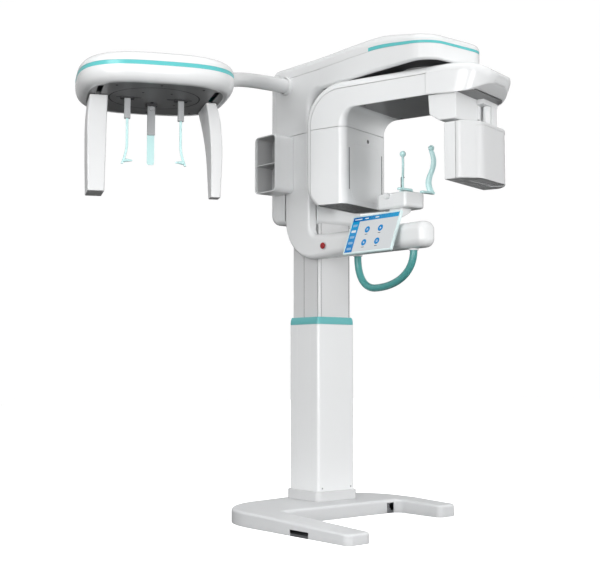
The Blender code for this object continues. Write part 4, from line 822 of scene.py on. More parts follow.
dark_plastic = moulded("dark_plastic", (0.055, 0.055, 0.06), 0.34, grain=0.05)
rod_x, rod_y, rod_rise, rod_bend, rod_r = -0.004, -0.590, 0.084, 0.007, 0.0024
path = [(0.0, 0.0), (0.0, 0.040), (0.0, rod_rise - rod_bend)]
path += [(rod_bend * (1 - np.cos(turn)), rod_rise - rod_bend + rod_bend * np.sin(turn))
         for turn in np.linspace(0, np.pi / 2, 9)[1:]]
path += [(0.021, rod_rise), (0.022, rod_rise)]
route = [(rod_x + out, rod_y, cup_base + up) for out, up in path]
radii = [rod_r] * (len(route) - 1) + [rod_r * 0.7]
rod = solid("bite_rod_bent", sweep(route, radii, (0, 1, 0), 16))
settle(rod, dark_plastic, "lift", ["bite_rod"])


def temple_support(name, x, ball_z, side, foot, body, breadth):
    """Flat strap that sways outwards and back in a sine below a ball pad, on a foot in a slot."""
    y, ball = -0.684, 0.0145
    sway = np.array([0.633 * side, -0.774])
    along = np.array([sway[1], -sway[0]])
    share = np.linspace(0, 1, 36)
    turns = np.radians(np.linspace(-55, 82, 14))
    push = 0.014 * np.sin(2 * np.pi * share) * np.where(share < 0.5, -1.0, -0.8)
    runs = (
        (cup_base + 0.004 + (ball_z - ball - cup_base - 0.002) * share, ball_z + ball * np.sin(turns)),
        (push, np.zeros(len(turns))),
        (breadth - 0.004 * share, ball * np.cos(turns)),
        (np.full(len(share), 0.0055), ball * np.cos(turns)),
    )
    height, push, wide, thick = (np.concatenate(run)[:, None] for run in runs)
    ring = disc(1.0, 28)
    flat = (push + wide * ring[:, 0])[..., None] * sway + (thick * ring[:, 1])[..., None] * along
    strap = solid(name + "_strap", np.dstack([flat + (x, y), height + 0 * ring[:, 0]]))
    corners = box_corners(foot, about(y, 0.012), 0.008)
    levels = rising(corners, cup_base, 0.002, count=3) + closing(corners, cup_base + 0.011, 0.003, count=4)
    carve(strap, skin("tool", levels), operation="UNION")
    settle(strap, pale_plastic, body, [name], angle=50)


temple_support("temple_support_left", -0.085, 1.721, -1, (-0.116, -0.030), "temple_left", 0.0130)
temple_support("temple_support_right", 0.105, 1.772, 1, (0.034, 0.120), "temple_right", 0.0155)


# The touch screen: a thin white housing on a friction hinge, glass let into its face, and a
# plain page of controls with no words: a coloured head, a side bar and four round keys.

tilt = radians(20.8)
screen_mid = np.array([-0.2185, -0.611, 1.350])
screen_out = np.array([-np.cos(tilt), 0.0, np.sin(tilt)])
screen_up = np.array([np.sin(tilt), 0.0, np.cos(tilt)])
half_wide, half_tall, screen_thick, face = 0.1635, 0.100, 0.014, -0.0020
glass_wide, glass_tall = half_wide - 0.0085, half_tall - 0.0085


def on_screen(rows):
    """Places rows of (across, up, out), measured from the middle of the screen's face."""
    return screen_mid + rows @ np.array([(0.0, -1.0, 0.0), screen_up, screen_out])


def slab(name, x, y, radius, low, high, look):
    """Thin sheet between two heights over the floor of the screen's recess."""
    sheet = prism(box_outline(x, y, radius), (face + low, face + high), place=on_screen, name=name)
    settle(sheet, look, "screen")


corners = box_corners(about(0.0, half_wide), about(0.0, half_tall), 0.008)
levels = rising(corners, -screen_thick, 0.004, count=5) + closing(corners, 0.0, 0.003, count=5)
housing = skin("screen_housing_moulding", levels, place=on_screen)
recess = box_outline(about(0.0, glass_wide), about(0.0, glass_tall), 0.003)
carve(housing, prism(recess, (face, 0.01), place=on_screen))
bezel_white = moulded("bezel_white", (0.72, 0.86, 0.86), 0.28, coat=0.3, grain=0.02)
settle(housing, bezel_white, "screen", ["screen_housing"], edge=0.0003)


def lit(name, colour, far=None, axis="Y", limits=(0.0, 1.0)):
    """A lit part of the display: black glossy glass over light that may shade along one axis."""
    look = Look(name, Base_Color=(0.01, 0.01, 0.01, 1.0), Roughness=0.25, Emission_Strength=0.85,
                Emission_Color=(*colour, 1.0))
    if far:
        spot = look.node("ShaderNodeSeparateXYZ", {}, {0: look.place()}, axis)
        share = look.span(spot, From_Min=limits[0], From_Max=limits[1])
        look.feed(look.shader, "Emission Color", look.blend(share, (*colour, 1.0), (*far, 1.0)))
    return look.material


page_light = lit("page_light", (0.80, 0.83, 0.85))
head_light = lit("head_light", (0.0, 0.40, 0.76), (0.0, 0.14, 0.50), "Y", about(screen_mid[1], glass_wide))
side_light = lit("side_light", (0.0, 0.20, 0.62), (0.0, 0.42, 0.78), "Z", about(screen_mid[2], 0.09))
key_light = lit("key_light", (0.0, 0.28, 0.70))
mark_light = lit("mark_light", (0.90, 0.97, 1.0))
soft_light = lit("soft_light", (0.30, 0.55, 0.80))
note_light = lit("note_light", (0.10, 0.11, 0.13))
left, right = about(0.0, glass_wide - 0.0006)
under, over = about(0.0, glass_tall - 0.0006)
side_wide, head_tall = 0.050, 0.023
page_top = over - head_tall
slab("screen_page", (left, right), (under, over), 0.0025, 0.0001, 0.0008, page_light)
slab("screen_head_bar", (left, right), (page_top, over), 0.0020, 0.0008, 0.0010, head_light)
slab("screen_side_bar", (left, left + side_wide), (under, page_top), 0.0015, 0.0008, 0.0010, side_light)
for row in range(5):
    y = page_top - 0.020 - row * 0.030
    slab(f"side_bar_key_{row}", (left + 0.010, left + side_wide - 0.010), about(y, 0.006), 0.003,
         0.0010, 0.0011, mark_light if row == 1 else soft_light)
key_r, arm, stroke = 0.0165, 0.0048, 0.0015
for column_step in range(2):
    for row in range(2):
        x = left + side_wide + 0.068 + column_step * 0.088
        y = page_top - 0.048 - row * 0.066
        name = f"round_key_{row}{column_step}"
        slab(name, about(x, key_r), about(y, key_r), key_r - 0.0001, 0.0008, 0.0011, key_light)
        if (row + column_step) % 2:
            slab(name + "_sign", about(x, arm), about(y, stroke), 0.0010, 0.0011, 0.0012, mark_light)
            slab(name + "_sign_up", about(x, stroke), about(y, arm), 0.0010, 0.0011, 0.00125, mark_light)
        else:
            slab(name + "_sign", about(x, arm), about(y, arm), 0.0040, 0.0011, 0.0012, mark_light)
            slab(name + "_sign_mid", about(x, arm * 0.55), about(y, arm * 0.55), 0.002, 0.0012, 0.00125,
                 key_light)
        slab(name + "_line", about(x, 0.009), (y - key_r - 0.0095, y - key_r - 0.0060), 0.0012,
             0.0008, 0.0009, note_light)
for step, wide in enumerate((0.050, 0.024, 0.024)):
    x = left + 0.012 + step * 0.070
    slab(f"head_bar_mark_{step}", (x, x + wide), about(over - head_tall / 2, 0.0025), 0.002, 0.0010, 0.0011,
         mark_light)
glass_look = Look("screen_glass", Base_Color=(0, 0, 0, 1), Roughness=0.05, Alpha=0.05)
slab("screen_glass", (left, right), (under, over), 0.0025, 0.0013, 0.0018, glass_look.material)
hinge_r = 0.010
hinge = screen_mid - screen_out * (screen_thick + hinge_r + 0.0003)
profile = [(hinge_r - 0.0015, -0.045), (hinge_r, -0.0435), (hinge_r, 0.0435), (hinge_r - 0.0015, 0.045)]
bracket = lathe("screen_bracket_casting", raised(profile, hinge[1]), (hinge[2], hinge[0]), "y", 36)
web = block((hinge[0], arm_face - 0.0003), about(hinge[1], 0.044), about(hinge[2], 0.007))
carve(bracket, web, operation="UNION")
settle(bracket, shelf_grey, "lift", ["screen_bracket"], edge=0.0006)


# The gantry: a C of white covers over an alloy frame. One narrow back cover runs over the beam
# and down behind the tube housing; the inner covers meet it at a seam parallel to its edge.

gantry_half, gantry_top, beam_under = 0.193, 2.083, 1.948
housing_rear, housing_front, housing_low, housing_seam = 0.566, 0.336, 1.498, 1.864
nose_seam, nose_tip, lid_band, outer_bend = -0.100, -0.385, 0.038, 0.200


def carrier(x, y, turn):
    """A function that carries rows from a frame turned about Z to the machine's frame."""
    def carry(rows):
        across, along, up = rows[..., 0], rows[..., 1], rows[..., 2]
        return np.stack([x + across * np.cos(turn) - along * np.sin(turn),
                         y + across * np.sin(turn) + along * np.cos(turn), up], -1)
    return carry


to_gantry = carrier(hub_x, hub_y, radians(15.0))


def c_rows(trim):
    """Sections along the C: the beam, a quarter turn round two circles, and the tube housing
    with its rear lower corner curved in."""
    inner_bend = 0.065
    outer_c = (housing_rear - outer_bend, gantry_top - outer_bend)
    inner_c = (housing_front - inner_bend, beam_under - inner_bend)
    stations = [((y, beam_under), (y, gantry_top), 0.004) for y in np.linspace(nose_seam, 0.08, 6)]
    for turn in np.linspace(np.pi / 2, 0, 25):
        share = 1 - turn / (np.pi / 2)
        stations.append((on_circle(inner_c, inner_bend, turn), on_circle(outer_c, outer_bend, turn),
                         0.004 + 0.032 * share))
    stations += [((housing_front, z), (housing_rear, z), 0.036) for z in (1.75, 1.67)]
    for share in np.linspace(0, 1, 16):
        z = housing_low + 0.115 * (1 - share)
        stations.append(((housing_front, z), (housing_rear - 0.058 * share ** 2.6, z), 0.036))
    return np.array([section(inner, outer, about(0.0, gantry_half), (edge, 0.040), trim, 7.5)
                     for inner, outer, edge in stations])


def c_block(name):
    rows = np.concatenate([c_rows(0.0), c_rows(shell_wall)[::-1]])
    return solid(name, to_gantry(rows), closed=True)


def seam_prism(gap):
    """Prism inside the seam that runs parallel to the C's outer edge."""
    y, z = housing_rear - lid_band - gap, gantry_top - lid_band - gap
    corners = [(-1.0, 1.0, 0), (y, 1.0, 0), (y, z, outer_bend - lid_band - gap), (-1.0, z, 0)]
    return prism(rounded(corners, 0.0, 4.0), (-0.3, 0.3), "x", to_gantry)


def under_outline(grow=0.0):
    return box_outline(about(0.0, gantry_half - 0.0058 + grow), (-0.322 - grow, 0.262 + grow), 0.075, 0.0)


def under_tool():
    return prism(under_outline(0.0003), (1.90, 1.957), place=to_gantry)


wide, long = (-0.3, 0.3), (-0.5, 0.7)
back_cover = carve(c_block("gantry_back_skin"), seam_prism(-seam / 2),
                   drill(0.0707, (2.05, 2.12), sides=48, place=to_gantry))
white(back_cover, "gantry", "gantry_back_cover", edge=0.0009)
beam = carve(c_block("gantry_beam_skin"), seam_prism(seam / 2), operation="INTERSECT")
carve(beam, block(wide, long, (1.2, housing_seam + seam / 2), to_gantry), under_tool())
white(beam, "gantry", "gantry_beam_cover", edge=0.0009)
tube_cover = carve(c_block("tube_housing_skin"), seam_prism(seam / 2), operation="INTERSECT")
carve(tube_cover, block(wide, long, (housing_seam - seam / 2, 2.3), to_gantry))
slot_x, slot_half, slot_low, slot_high = 0.146, 0.0035, 1.568, 1.768
front_wall, laser_spot = (0.30, 0.36), (1.82, 0.02)
for side in (-1, 1):
    slot = box_outline((slot_low, slot_high), about(side * slot_x, slot_half), 0.0005)
    carve(tube_cover, prism(slot, front_wall, "y", to_gantry))
pad = box_corners((1.523, 1.793), (-0.130, 0.130), 0.040)
groove_low, groove_high = housing_front - 0.01, housing_front + 0.0009
levels = drawn(pad, ((0.0, groove_low), (0.0, groove_high), (0.0016, groove_high), (0.0016, groove_low)))
carve(tube_cover, skin("tool", levels, "y", to_gantry, closed=True),
      drill(0.0100, front_wall, laser_spot, "y", 32, to_gantry))
white(tube_cover, "gantry", "tube_housing_cover", edge=0.0007)
laser_glass = moulded("laser_glass", (0.03, 0.03, 0.035), 0.12, coat=0.5, grain=0.0)
lens = lathe("laser_window", raised([(0.0097, 0.0009), (0.0097, 0.003)], housing_front), laser_spot, "y", 32,
             to_gantry)
settle(lens, laser_glass, "gantry")
# Black blocks just inside the housing's slots are painted shade in the slots.
for side in (-1, 1):
    dark(block(about(side * slot_x, slot_half - 0.0003), (housing_front + 0.0007, housing_front + 0.0032),
               (slot_low + 0.0003, slot_high - 0.0003), to_gantry, f"slot_painted_shade_{side + 1}"), "gantry")


def nose_form(forward):
    """How far round its tip, and how far down its fall, the nose is at a distance forward."""
    along = np.clip((forward - 0.200) / (-nose_tip - 0.200), 0, 0.997)
    return along, max(0.0, (forward - 0.12) / (-nose_tip - 0.12))


def nose_lean(fall, height):
    return 0.45 * min(1.0, fall) * (height - (gantry_top + beam_under) / 2)


def nose_rows(trim):
    """Sections of the nose towards its tip: a superellipse in plan, with its top leaning out."""
    reach = -nose_seam + 0.0003 + seam / 2
    rows = []
    for part in np.sin(np.linspace(0, np.pi / 2, 26)):
        forward = reach + (-nose_tip - 0.0012 - trim - reach) * part
        along, fall = nose_form(forward)
        half = gantry_half * (1 - along ** 3) ** (1 / 3)
        high = gantry_top - 0.020 * fall ** 2 - 0.036 * along ** 4
        low = beam_under - 0.013 * min(1.0, fall * 1.3) + 0.055 * along ** 4
        outline = rounded(box_corners(about(0.0, half), (low, high), 0.006, 0.038), trim)
        x, z = outline.T
        rows.append(np.column_stack([x, -forward - nose_lean(fall, z), z]))
    return np.array(rows)


nose = solid("gantry_nose_skin", to_gantry(np.concatenate([nose_rows(shell_wall)[::-1], nose_rows(0.0)])))
rows = []
for forward in np.linspace(-nose_seam - 0.002, -nose_tip + 0.02, 24):
    along, fall = nose_form(forward)
    height = gantry_top - lid_band - 0.020 * fall ** 2 - 0.026 * along ** 4
    y = -forward - nose_lean(fall, height)
    rows.append([(x, y, height + rise) for x, rise in (
        (-0.3, -0.0009), (0.3, -0.0009), (0.3, 0.0009), (-0.3, 0.0009))])
nose_line = carve(solid("tool", to_gantry(np.array(rows))), solid("tool", to_gantry(nose_rows(0.0012))))
white(carve(nose, nose_line, under_tool()), "gantry", "gantry_nose_cover", edge=0.0007)
paint_nodes(plain_alloy, "gantry_frame", "x_ray_tube_head", "shift_plate")
paint_nodes(plate_steel, "collimator_box")


# The closing plates of the gantry: a dark powder-coated sheet let into the beam's underside,
# held by small screws, and a vented floor under the tube housing.

def powder_coat(name, colour, roughness, grain):
    """Powder paint on sheet: an orange-peel texture of rounded cells."""
    look = Look(name, Metallic=0.0)
    cells = look.node("ShaderNodeTexVoronoi", {"feature": "SMOOTH_F1"},
                      {"Vector": look.place(), "Scale": 520.0})
    drift = look.noise(4.0, 3.0)
    return look.finish(look.tones(drift, colour, 0.9, 1.1), drift * 0.08 + (roughness - 0.04),
                       look.bump(cells, grain, 0.0003))


dark_coat = powder_coat("dark_coat", (0.23, 0.23, 0.235), 0.42, 0.14)
floor_coat = powder_coat("floor_coat", (0.17, 0.17, 0.175), 0.40, 0.14)
plate_low, plate_high = (corner.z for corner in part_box("gantry_underplate"))
plate = prism(under_outline(), (plate_low, plate_high), place=to_gantry, name="gantry_underplate_sheet")
settle(plate, dark_coat, "gantry", ["gantry_underplate"], edge=0.0005)
for step, (x, y) in enumerate([(x, y) for y in (-0.215, 0.02, 0.235) for x in (-0.168, 0.168)]):
    screw(f"underplate_screw_{step}", (x, y, plate_low), ("z", -1), 0.0058,
          "gantry", wiper_black, to_gantry)
floor_low, wall_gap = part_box("tube_housing_floor")[0].z, shell_wall + 0.0007
floor_y = (housing_front + wall_gap, housing_rear - 0.055 - wall_gap)
vented = box_outline(about(0.0, gantry_half - wall_gap), floor_y, 0.036)
vent_floor = prism(vented, (floor_low, floor_low + 0.003), place=to_gantry, name="tube_housing_grille")
for row in range(6):
    for column_step in range(7):
        vent = box_outline(about(-0.126 + 0.042 * column_step, 0.017),
                           about(floor_y[0] + 0.028 + 0.020 * row, 0.0035), 0.0034)
        carve(vent_floor, prism(vent, about(floor_low, 0.01), place=to_gantry))
settle(vent_floor, floor_coat, "gantry", ["tube_housing_floor"])


# The drive above the gantry: a dark hub that turns in the overhead arm's slot, on a steel plate
# that slides along the arm with the slewing motor.

hub_low, hub_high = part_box("gantry_hub")
profile = [(0.070, hub_low.z), (0.070, gantry_top + 0.0045), (0.1185, gantry_top + 0.0048),
           (0.1195, gantry_top + 0.0058), (0.1195, arm_under - 0.0025), (0.1180, arm_under - 0.0015),
           (0.050, arm_under - 0.0010), (0.050, hub_high.z)]
hub = lathe("gantry_hub_turned", profile, sides=72, place=to_gantry)
settle(hub, dark_coat, "gantry", ["gantry_hub"])
paint_nodes(dark_coat, "slew_motor")


# The yoke and the neck: a chamfered block under the beam and a round post that the detector
# hangs and turns on.

neck_x, neck_y, neck_r = 0.095, -0.262, 0.017
yoke_low, yoke_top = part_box("detector_yoke")[0].z, beam_under + 0.0002
yoke_front, yoke_rear = -0.245, -0.105
ear_x, ear_front = neck_x + neck_r + 0.0012, neck_y - 0.018
ear_end, block_end = gantry_half - 0.024, neck_x - neck_r - 0.0312
profile = [(yoke_rear, yoke_top, 0), (yoke_front, yoke_top, 0), (yoke_front, yoke_low, 0.010),
           (yoke_rear - 0.055, yoke_low, 0.012), (yoke_rear - 0.006, yoke_low + 0.032, 0.010)]
levels = rising(profile, -gantry_half + 0.016, 0.005, count=5) + closing(profile, block_end, 0.016, count=7)
yoke = skin("detector_yoke_casting", levels, "x", to_gantry)
ear_plan = box_corners((ear_x, ear_end - 0.001), (ear_front + 0.001, ear_front + 0.060), 0.005)
levels = rising(ear_plan, yoke_low, 0.003, count=4) + drawn(ear_plan, ((0.0, yoke_top - 0.001),))
seat = beam_under - 0.0215
carve(yoke, block((block_end - 0.02, ear_end), (ear_front, -0.120), (seat, yoke_top), to_gantry),
      skin("tool", levels, place=to_gantry),
      block((block_end - 0.015, neck_x - neck_r - 0.0012), (yoke_front + 0.005, yoke_front + 0.045),
            (yoke_low + 0.034, yoke_top - 0.001), to_gantry), operation="UNION")
carve(yoke, drill(0.0087, (seat - 0.01, beam_under - 0.0025), (neck_x, neck_y), place=to_gantry))
white(yoke, "gantry", "detector_yoke", edge=0.0008)
detector_top, neck_waist = 1.812, neck_r - 0.0015
profile = [(neck_r - 0.001, 0.0003), (neck_r, 0.0013), (neck_r, 0.010), (neck_waist, 0.0110),
           (neck_waist, 0.0125), (neck_r, 0.0135), (neck_r, 0.1110), (neck_waist, 0.1125), (0.008, 0.1130),
           (0.008, 0.1320)]
neck = lathe("detector_neck_turned", raised(profile, detector_top), (neck_x, neck_y), sides=48,
             place=to_gantry)
white(neck, "detector", "detector_neck")


# The detector: a shallow box in two mouldings that meet at a seam round its sides. The inner one
# holds a framed window over the sensor, the outer one bulges and has cooling slots underneath.

detector_low, detector_face, detector_side, detector_bulge = 1.556, -0.191, -0.275, -0.345
detector_split, half = -0.250, 0.190
soft_white = moulded("soft_white", (0.71, 0.717, 0.722), 0.30, coat=0.25, grain=0.03)
detector_corners = [(half, detector_face, 0.006), (-half, detector_face, 0.006),
                    (-half - 0.006, detector_side, 0.045), (-half + 0.060, detector_bulge, 0.110),
                    (half - 0.060, detector_bulge, 0.110), (half + 0.006, detector_side, 0.045)]


def detector_skin(name, trim=0.0):
    """Closed skin of the whole box, drawn in by trim, with eased top and bottom edges."""
    fillet = 0.002 if trim else 0.005
    levels = rising(detector_corners, detector_low + trim, fillet, trim, step=4.0)
    levels += closing(detector_corners, detector_top - trim, fillet, trim, step=4.0)
    return skin(name, levels, place=to_gantry)


def detector_part(name, y_range):
    """The part of the hollow box that lies within a range along Y."""
    shell = carve(detector_skin(name), detector_skin("tool", shell_wall))
    return carve(shell, block((-0.3, 0.3), y_range, (1.4, 2.0), to_gantry), operation="INTERSECT")


front = detector_part("detector_inner_moulding", (detector_split + seam / 2, 0.0))
window = box_corners((detector_low + 0.028, detector_top - 0.028), (-0.128, 0.128), 0.006)
window_floor = detector_face - 0.0012
carve(front, prism(rounded(window), (window_floor, 0.0), "y", to_gantry))
white(front, "detector", "detector_front_cover", edge=0.0006)
window_grey = moulded("window_grey", (0.30, 0.31, 0.32), 0.30, coat=0.2, grain=0.03)
glass = prism(rounded(window, 0.0004), (window_floor, window_floor + 0.0008), "y", to_gantry, "sensor_window")
settle(glass, window_grey, "detector")
back = detector_part("detector_outer_moulding", (-0.5, detector_split - seam / 2))
levels = [(box_outline((detector_top - 0.40, detector_top + rise), about(0.0, half_x)), y)
          for y, half_x, rise in ((-0.400, 0.200, 0.012), (-0.345, 0.158, -0.014), (-0.270, 0.110, -0.036))]
carve(back, carve(skin("tool", levels, "y", to_gantry), detector_skin("tool", 0.0022)))
for step in range(9):
    slot = box_outline(about(-0.080 + 0.020 * step, 0.0042), (-0.326, -0.282), 0.0030)
    carve(back, prism(slot, (1.50, detector_low + 0.02), place=to_gantry))
settle(back, soft_white, "detector", ["detector_back_cover"], edge=0.0006)
screw_spots = [(x, z) for x in (-0.172, 0.172) for z in (detector_low + 0.018, detector_top - 0.018)]
for step, (x, z) in enumerate(screw_spots):
    screw(f"detector_screw_{step}", (x, detector_face, z), ("y", 1), 0.0030,
          "detector", bright_steel, to_gantry)
# A black block inside the outer moulding, over its cooling slots, is painted shade seen through them.
dark(block((-0.095, 0.095), (-0.330, -0.278), (detector_low + shell_wall + 0.0004, detector_low + 0.006),
           to_gantry, "detector_slot_painted_shade"), "detector")
paint_nodes(dark_coat, "detector_panel")


# The cephalometric head: a lid, a teal band and a rim that curls in to a dark plate. The plate
# carries a turning disc with ear rods and a nasion bar, and a post hangs from it at each side.

ceph_low, band_low, band_high, ceph_high = 1.880, 1.945, 1.962, 2.020
cap_wall, rim_at = 0.0035, 0.046
to_ceph = carrier(-1.203, -0.305, radians(-24.3))


def cap(inset):
    """Superellipse of the cap, drawn in by inset."""
    turns = np.linspace(0, 2 * np.pi, 160, endpoint=False)
    across, along = [np.sign(way) * np.abs(way) ** (2 / 3.2) * (half - inset)
                     for way, half in ((np.cos(turns), 0.330), (np.sin(turns), 0.335))]
    return np.stack([across, 0.015 + along], 1)


def smooth(points, steps, spots):
    """Values at spots on a smooth run through points that stand at rising steps."""
    points = np.array(points)
    slopes = np.gradient(points, steps, axis=0)
    index = np.clip(np.searchsorted(steps, spots, "right") - 1, 0, len(points) - 2)
    gap = (steps[index + 1] - steps[index])[:, None]
    t = (spots - steps[index])[:, None] / gap
    return (points[index] * (1 + 2 * t) * (1 - t) ** 2 + slopes[index] * gap * t * (1 - t) ** 2
            + points[index + 1] * t * t * (3 - 2 * t) + slopes[index + 1] * gap * t * t * (t - 1))


def smooth_pairs(points, count):
    """Evenly spaced (inset, height) pairs on a smooth run through a few."""
    steps = np.concatenate([[0], np.cumsum(np.linalg.norm(np.diff(points, axis=0), axis=1))])
    return list(smooth(points, steps, np.linspace(0, steps[-1], count)))


def cap_skin(name, pairs, closed=False):
    return skin(name, [(cap(inset), height) for inset, height in pairs], place=to_ceph, closed=closed)


rim_side = smooth_pairs([(rim_at, ceph_low), (0.030, ceph_low + 0.0022), (0.014, ceph_low + 0.014),
                         (0.003, ceph_low + 0.036), (0.0, band_low - 0.0003)], 30)
inner = [(cap_wall, band_low - 0.0003), (0.0065, ceph_low + 0.038), (0.0125, ceph_low + 0.026),
         (0.020, ceph_low + 0.0175), (0.033, ceph_low + 0.0085), (rim_at, ceph_low + 0.0075)]
white(cap_skin("ceph_rim_moulding", rim_side + inner, True), "lift", "ceph_rim", edge=0.0005)
band = [(0.0008, band_low), (0.0003, band_low + 0.0006), (0.0003, band_high - 0.0006), (0.0008, band_high),
        (cap_wall, band_high), (cap_wall, band_low)]
settle(cap_skin("ceph_band_strip", band, True), strip_teal, "lift", ["ceph_stripe"])
lid_low = band_high + 0.0003
lid_side = smooth_pairs([(0.0, lid_low), (0.0035, lid_low + 0.016), (0.018, lid_low + 0.033),
                         (0.050, lid_low + 0.047), (0.110, ceph_high - 0.0006)], 34)
lid_side += [(0.180, ceph_high - 0.0002), (0.260, ceph_high)]
under = [(inset + cap_wall * 0.8, height - cap_wall) for inset, height in reversed(lid_side[1:-1])]
pairs = [(0.262, ceph_high - cap_wall)] + under + [(cap_wall, lid_low)] + lid_side
white(cap_skin("ceph_lid_moulding", pairs), "lift", "ceph_lid")


# The dark plate under the cap, with the posts' slots, and the disc in its round hole. The disc
# has slots for the ear rods and the nasion bar. Both are powder-coated sheet with flush screws.

plate_low = ceph_low + 0.002
plate_high = plate_low + 0.005
through = (plate_low - 0.01, plate_high + 0.01)
brush_z = (plate_low + 0.0003, plate_low + 0.0018)


def ceph_box(x, y, radius, heights, name="tool"):
    """Rounded box in the head's frame, given by its ranges."""
    return prism(box_outline(x, y, radius), heights, place=to_ceph, name=name)


def ceph_screws(name, spots, radius, body):
    for step, (x, y) in enumerate(spots):
        screw(f"{name}_{step}", (x, y, plate_low), ("z", -1), radius, body, wiper_black,
              to_ceph)


ceph_sheet = prism(cap(rim_at + 0.0003), (plate_low, plate_high), place=to_ceph, name="ceph_plate_sheet")
carve(ceph_sheet, drill(0.1960, through, sides=120, place=to_ceph))
for side in (-1, 1):
    carve(ceph_sheet, ceph_box(about(side * 0.242, 0.011), (-0.180, 0.204), 0.009, through))
settle(ceph_sheet, dark_coat, "lift", ["ceph_plate"], edge=0.0004)
ceph_screws("ceph_plate_screw", ((-0.190, 0.235), (0.190, 0.235), (-0.180, -0.200), (0.180, -0.200),
                                 (0.0, 0.262), (0.0, -0.235)), 0.0060, "lift")
profile = [(0.1886, plate_low), (0.1890, plate_low + 0.0004), (0.1890, plate_high - 0.0004),
           (0.1886, plate_high)]
turntable = lathe("ceph_disc_sheet", profile, sides=120, place=to_ceph)
for side in (-1, 1):
    ends = sorted((side * 0.163, side * 0.053))
    carve(turntable, ceph_box(ends, about(0.0, 0.0080), 0.0070, through))
profile = raised([(0.1893, 0.0002), (0.1957, 0.0002), (0.1957, 0.003), (0.1893, 0.003)], plate_low)
dark(lathe("ceph_ring_seal", profile, sides=120, place=to_ceph, closed=True), "lift")
for side in (-1, 1):
    ends = sorted((side * 0.0535, side * 0.1625))
    dark(ceph_box(ends, about(0.0, 0.0077), 0.006, brush_z, f"ear_slot_brush_{side + 1}"), "ceph_turntable")
dark(ceph_box(about(0.0, 0.0066), (0.0605, 0.1395), 0.006, brush_z, "nasion_slot_brush"), "ceph_turntable")
carve(turntable, ceph_box(about(0.0, 0.007), (0.060, 0.140), 0.0065, through))
settle(turntable, dark_coat, "ceph_turntable", ["ceph_disc"])
ceph_screws("ceph_disc_screw", ((-0.06, -0.10), (0.06, -0.10), (-0.10, 0.10), (0.10, 0.10)), 0.0050,
            "ceph_turntable")


# The ear rods: a slider over the disc, a grey bracket block below it, and a thin pale rod that
# curves outwards to an ear plug pointing in. The two slide in mirrored step.

bracket_grey = moulded("bracket_grey", (0.40, 0.41, 0.42), 0.38, grain=0.05)


def box_levels(x, y, radius, rows):
    """Levels about one middle, from (half x, half y, height) rows."""
    return [(box_outline(about(x, half_x), about(y, half_y), radius), height)
            for half_x, half_y, height in rows]


def slider_levels(x, y, half_x, half_y, neck_x, neck_y, tall=0.012):
    """Pad that rides over the sheet, then the neck through its slot, from the top down."""
    top = plate_high + 0.0003
    return box_levels(x, y, 0.002, [(half_x - 0.001, half_y - 0.001, top + tall)]) + box_levels(x, y, 0.003, (
        (half_x, half_y, top + tall - 0.001), (half_x, half_y, top), (neck_x, neck_y, top),
        (neck_x, neck_y, plate_low - 0.0003)))


for name, side, body in (("ear_rod_left", -1, "ear_left"), ("ear_rod_right", 1, "ear_right")):
    x = side * 0.115
    levels = slider_levels(x, 0.0, 0.016, 0.014, 0.010, 0.0053) + box_levels(x, 0.0, 0.005, (
        (0.013, 0.012, plate_low - 0.0003), (0.013, 0.012, 1.836), (0.0122, 0.0112, 1.8352),
        (0.0122, 0.0112, 1.8335), (0.013, 0.012, 1.8327), (0.013, 0.012, 1.7912), (0.0118, 0.0108, 1.790),
        (0.0056, 0.0051, 1.790)))
    bracket = skin(name + "_bracket", levels[::-1], place=to_ceph)
    settle(bracket, bracket_grey, body, [name], edge=0.0004)
    shoe = ceph_box(about(x, 0.029), about(0.0, 0.0165), 0.003, (plate_low - 0.0060, plate_low - 0.0006),
                    name + "_shoe")
    carve(shoe, ceph_box(about(x, 0.0132), about(0.0, 0.0122), 0.005, (plate_low - 0.02, plate_low + 0.01)))
    settle(shoe, wiper_black, body)
    bend = [(0.0, height) for height in (1.7897, 1.740, 1.690)]
    bend += [(0.020 * share ** 1.7, 1.680 - 0.084 * share) for share in np.linspace(0.0, 1.0, 14)]
    levels = [(box_outline(about(x + side * out, 0.0053), about(0.0, 0.0048), 0.0034), height)
              for out, height in bend]
    levels += box_levels(x + side * 0.0205, 0.0, 0.003, [(0.0040, 0.0036, 1.5948)])
    rod = skin(name + "_rod", levels[::-1], place=to_ceph)
    profile = [(0.0092, 0.0), (0.0088, 0.004), (0.0082, 0.010), (0.0066, 0.018), (0.0050, 0.027),
               (0.0040, 0.034), (0.0030, 0.0385), (0.0016, 0.040)]
    plug = lathe("tool", raised(profile, x + side * 0.016, -side), (0.0, 1.610), "x", 28, to_ceph)
    settle(carve(rod, plug, operation="UNION"), pale_plastic, body, angle=50)


# The nasion bar: a grey guide with a clamp knob and an end stop, and the pale pad that slides
# up and down behind it and ends in a soft curved foot.

nasion_y = 0.100
levels = slider_levels(0.0, nasion_y, 0.016, 0.014, 0.0063, 0.007) + box_levels(0.0, nasion_y, 0.004, (
    (0.017, 0.008, plate_low - 0.0003), (0.017, 0.008, 1.7595), (0.0162, 0.0072, 1.7588),
    (0.0162, 0.0072, 1.7570), (0.017, 0.008, 1.7563), (0.017, 0.008, 1.7452), (0.016, 0.007, 1.744)))
bar = skin("nasion_bar_guide", levels[::-1], place=to_ceph)
profile = raised([(0.0095, 0.020), (0.0110, 0.0188), (0.0110, 0.012), (0.0100, 0.0112), (0.0100, 0.002)],
                 nasion_y, -1)
carve(bar, lathe("tool", profile, (1.858, 0.0), "y", 40, to_ceph), operation="UNION")
settle(bar, bracket_grey, "nasion", ["nasion_bar"], edge=0.0004)
shoe = ceph_box(about(0.0, 0.024), (nasion_y - 0.018, nasion_y + 0.016), 0.004,
                (plate_low - 0.012, plate_low - 0.0006), "nasion_shoe")
carve(shoe, ceph_box(about(0.0, 0.0172), about(nasion_y, 0.0082), 0.004,
                     (plate_low - 0.03, plate_low + 0.01)))
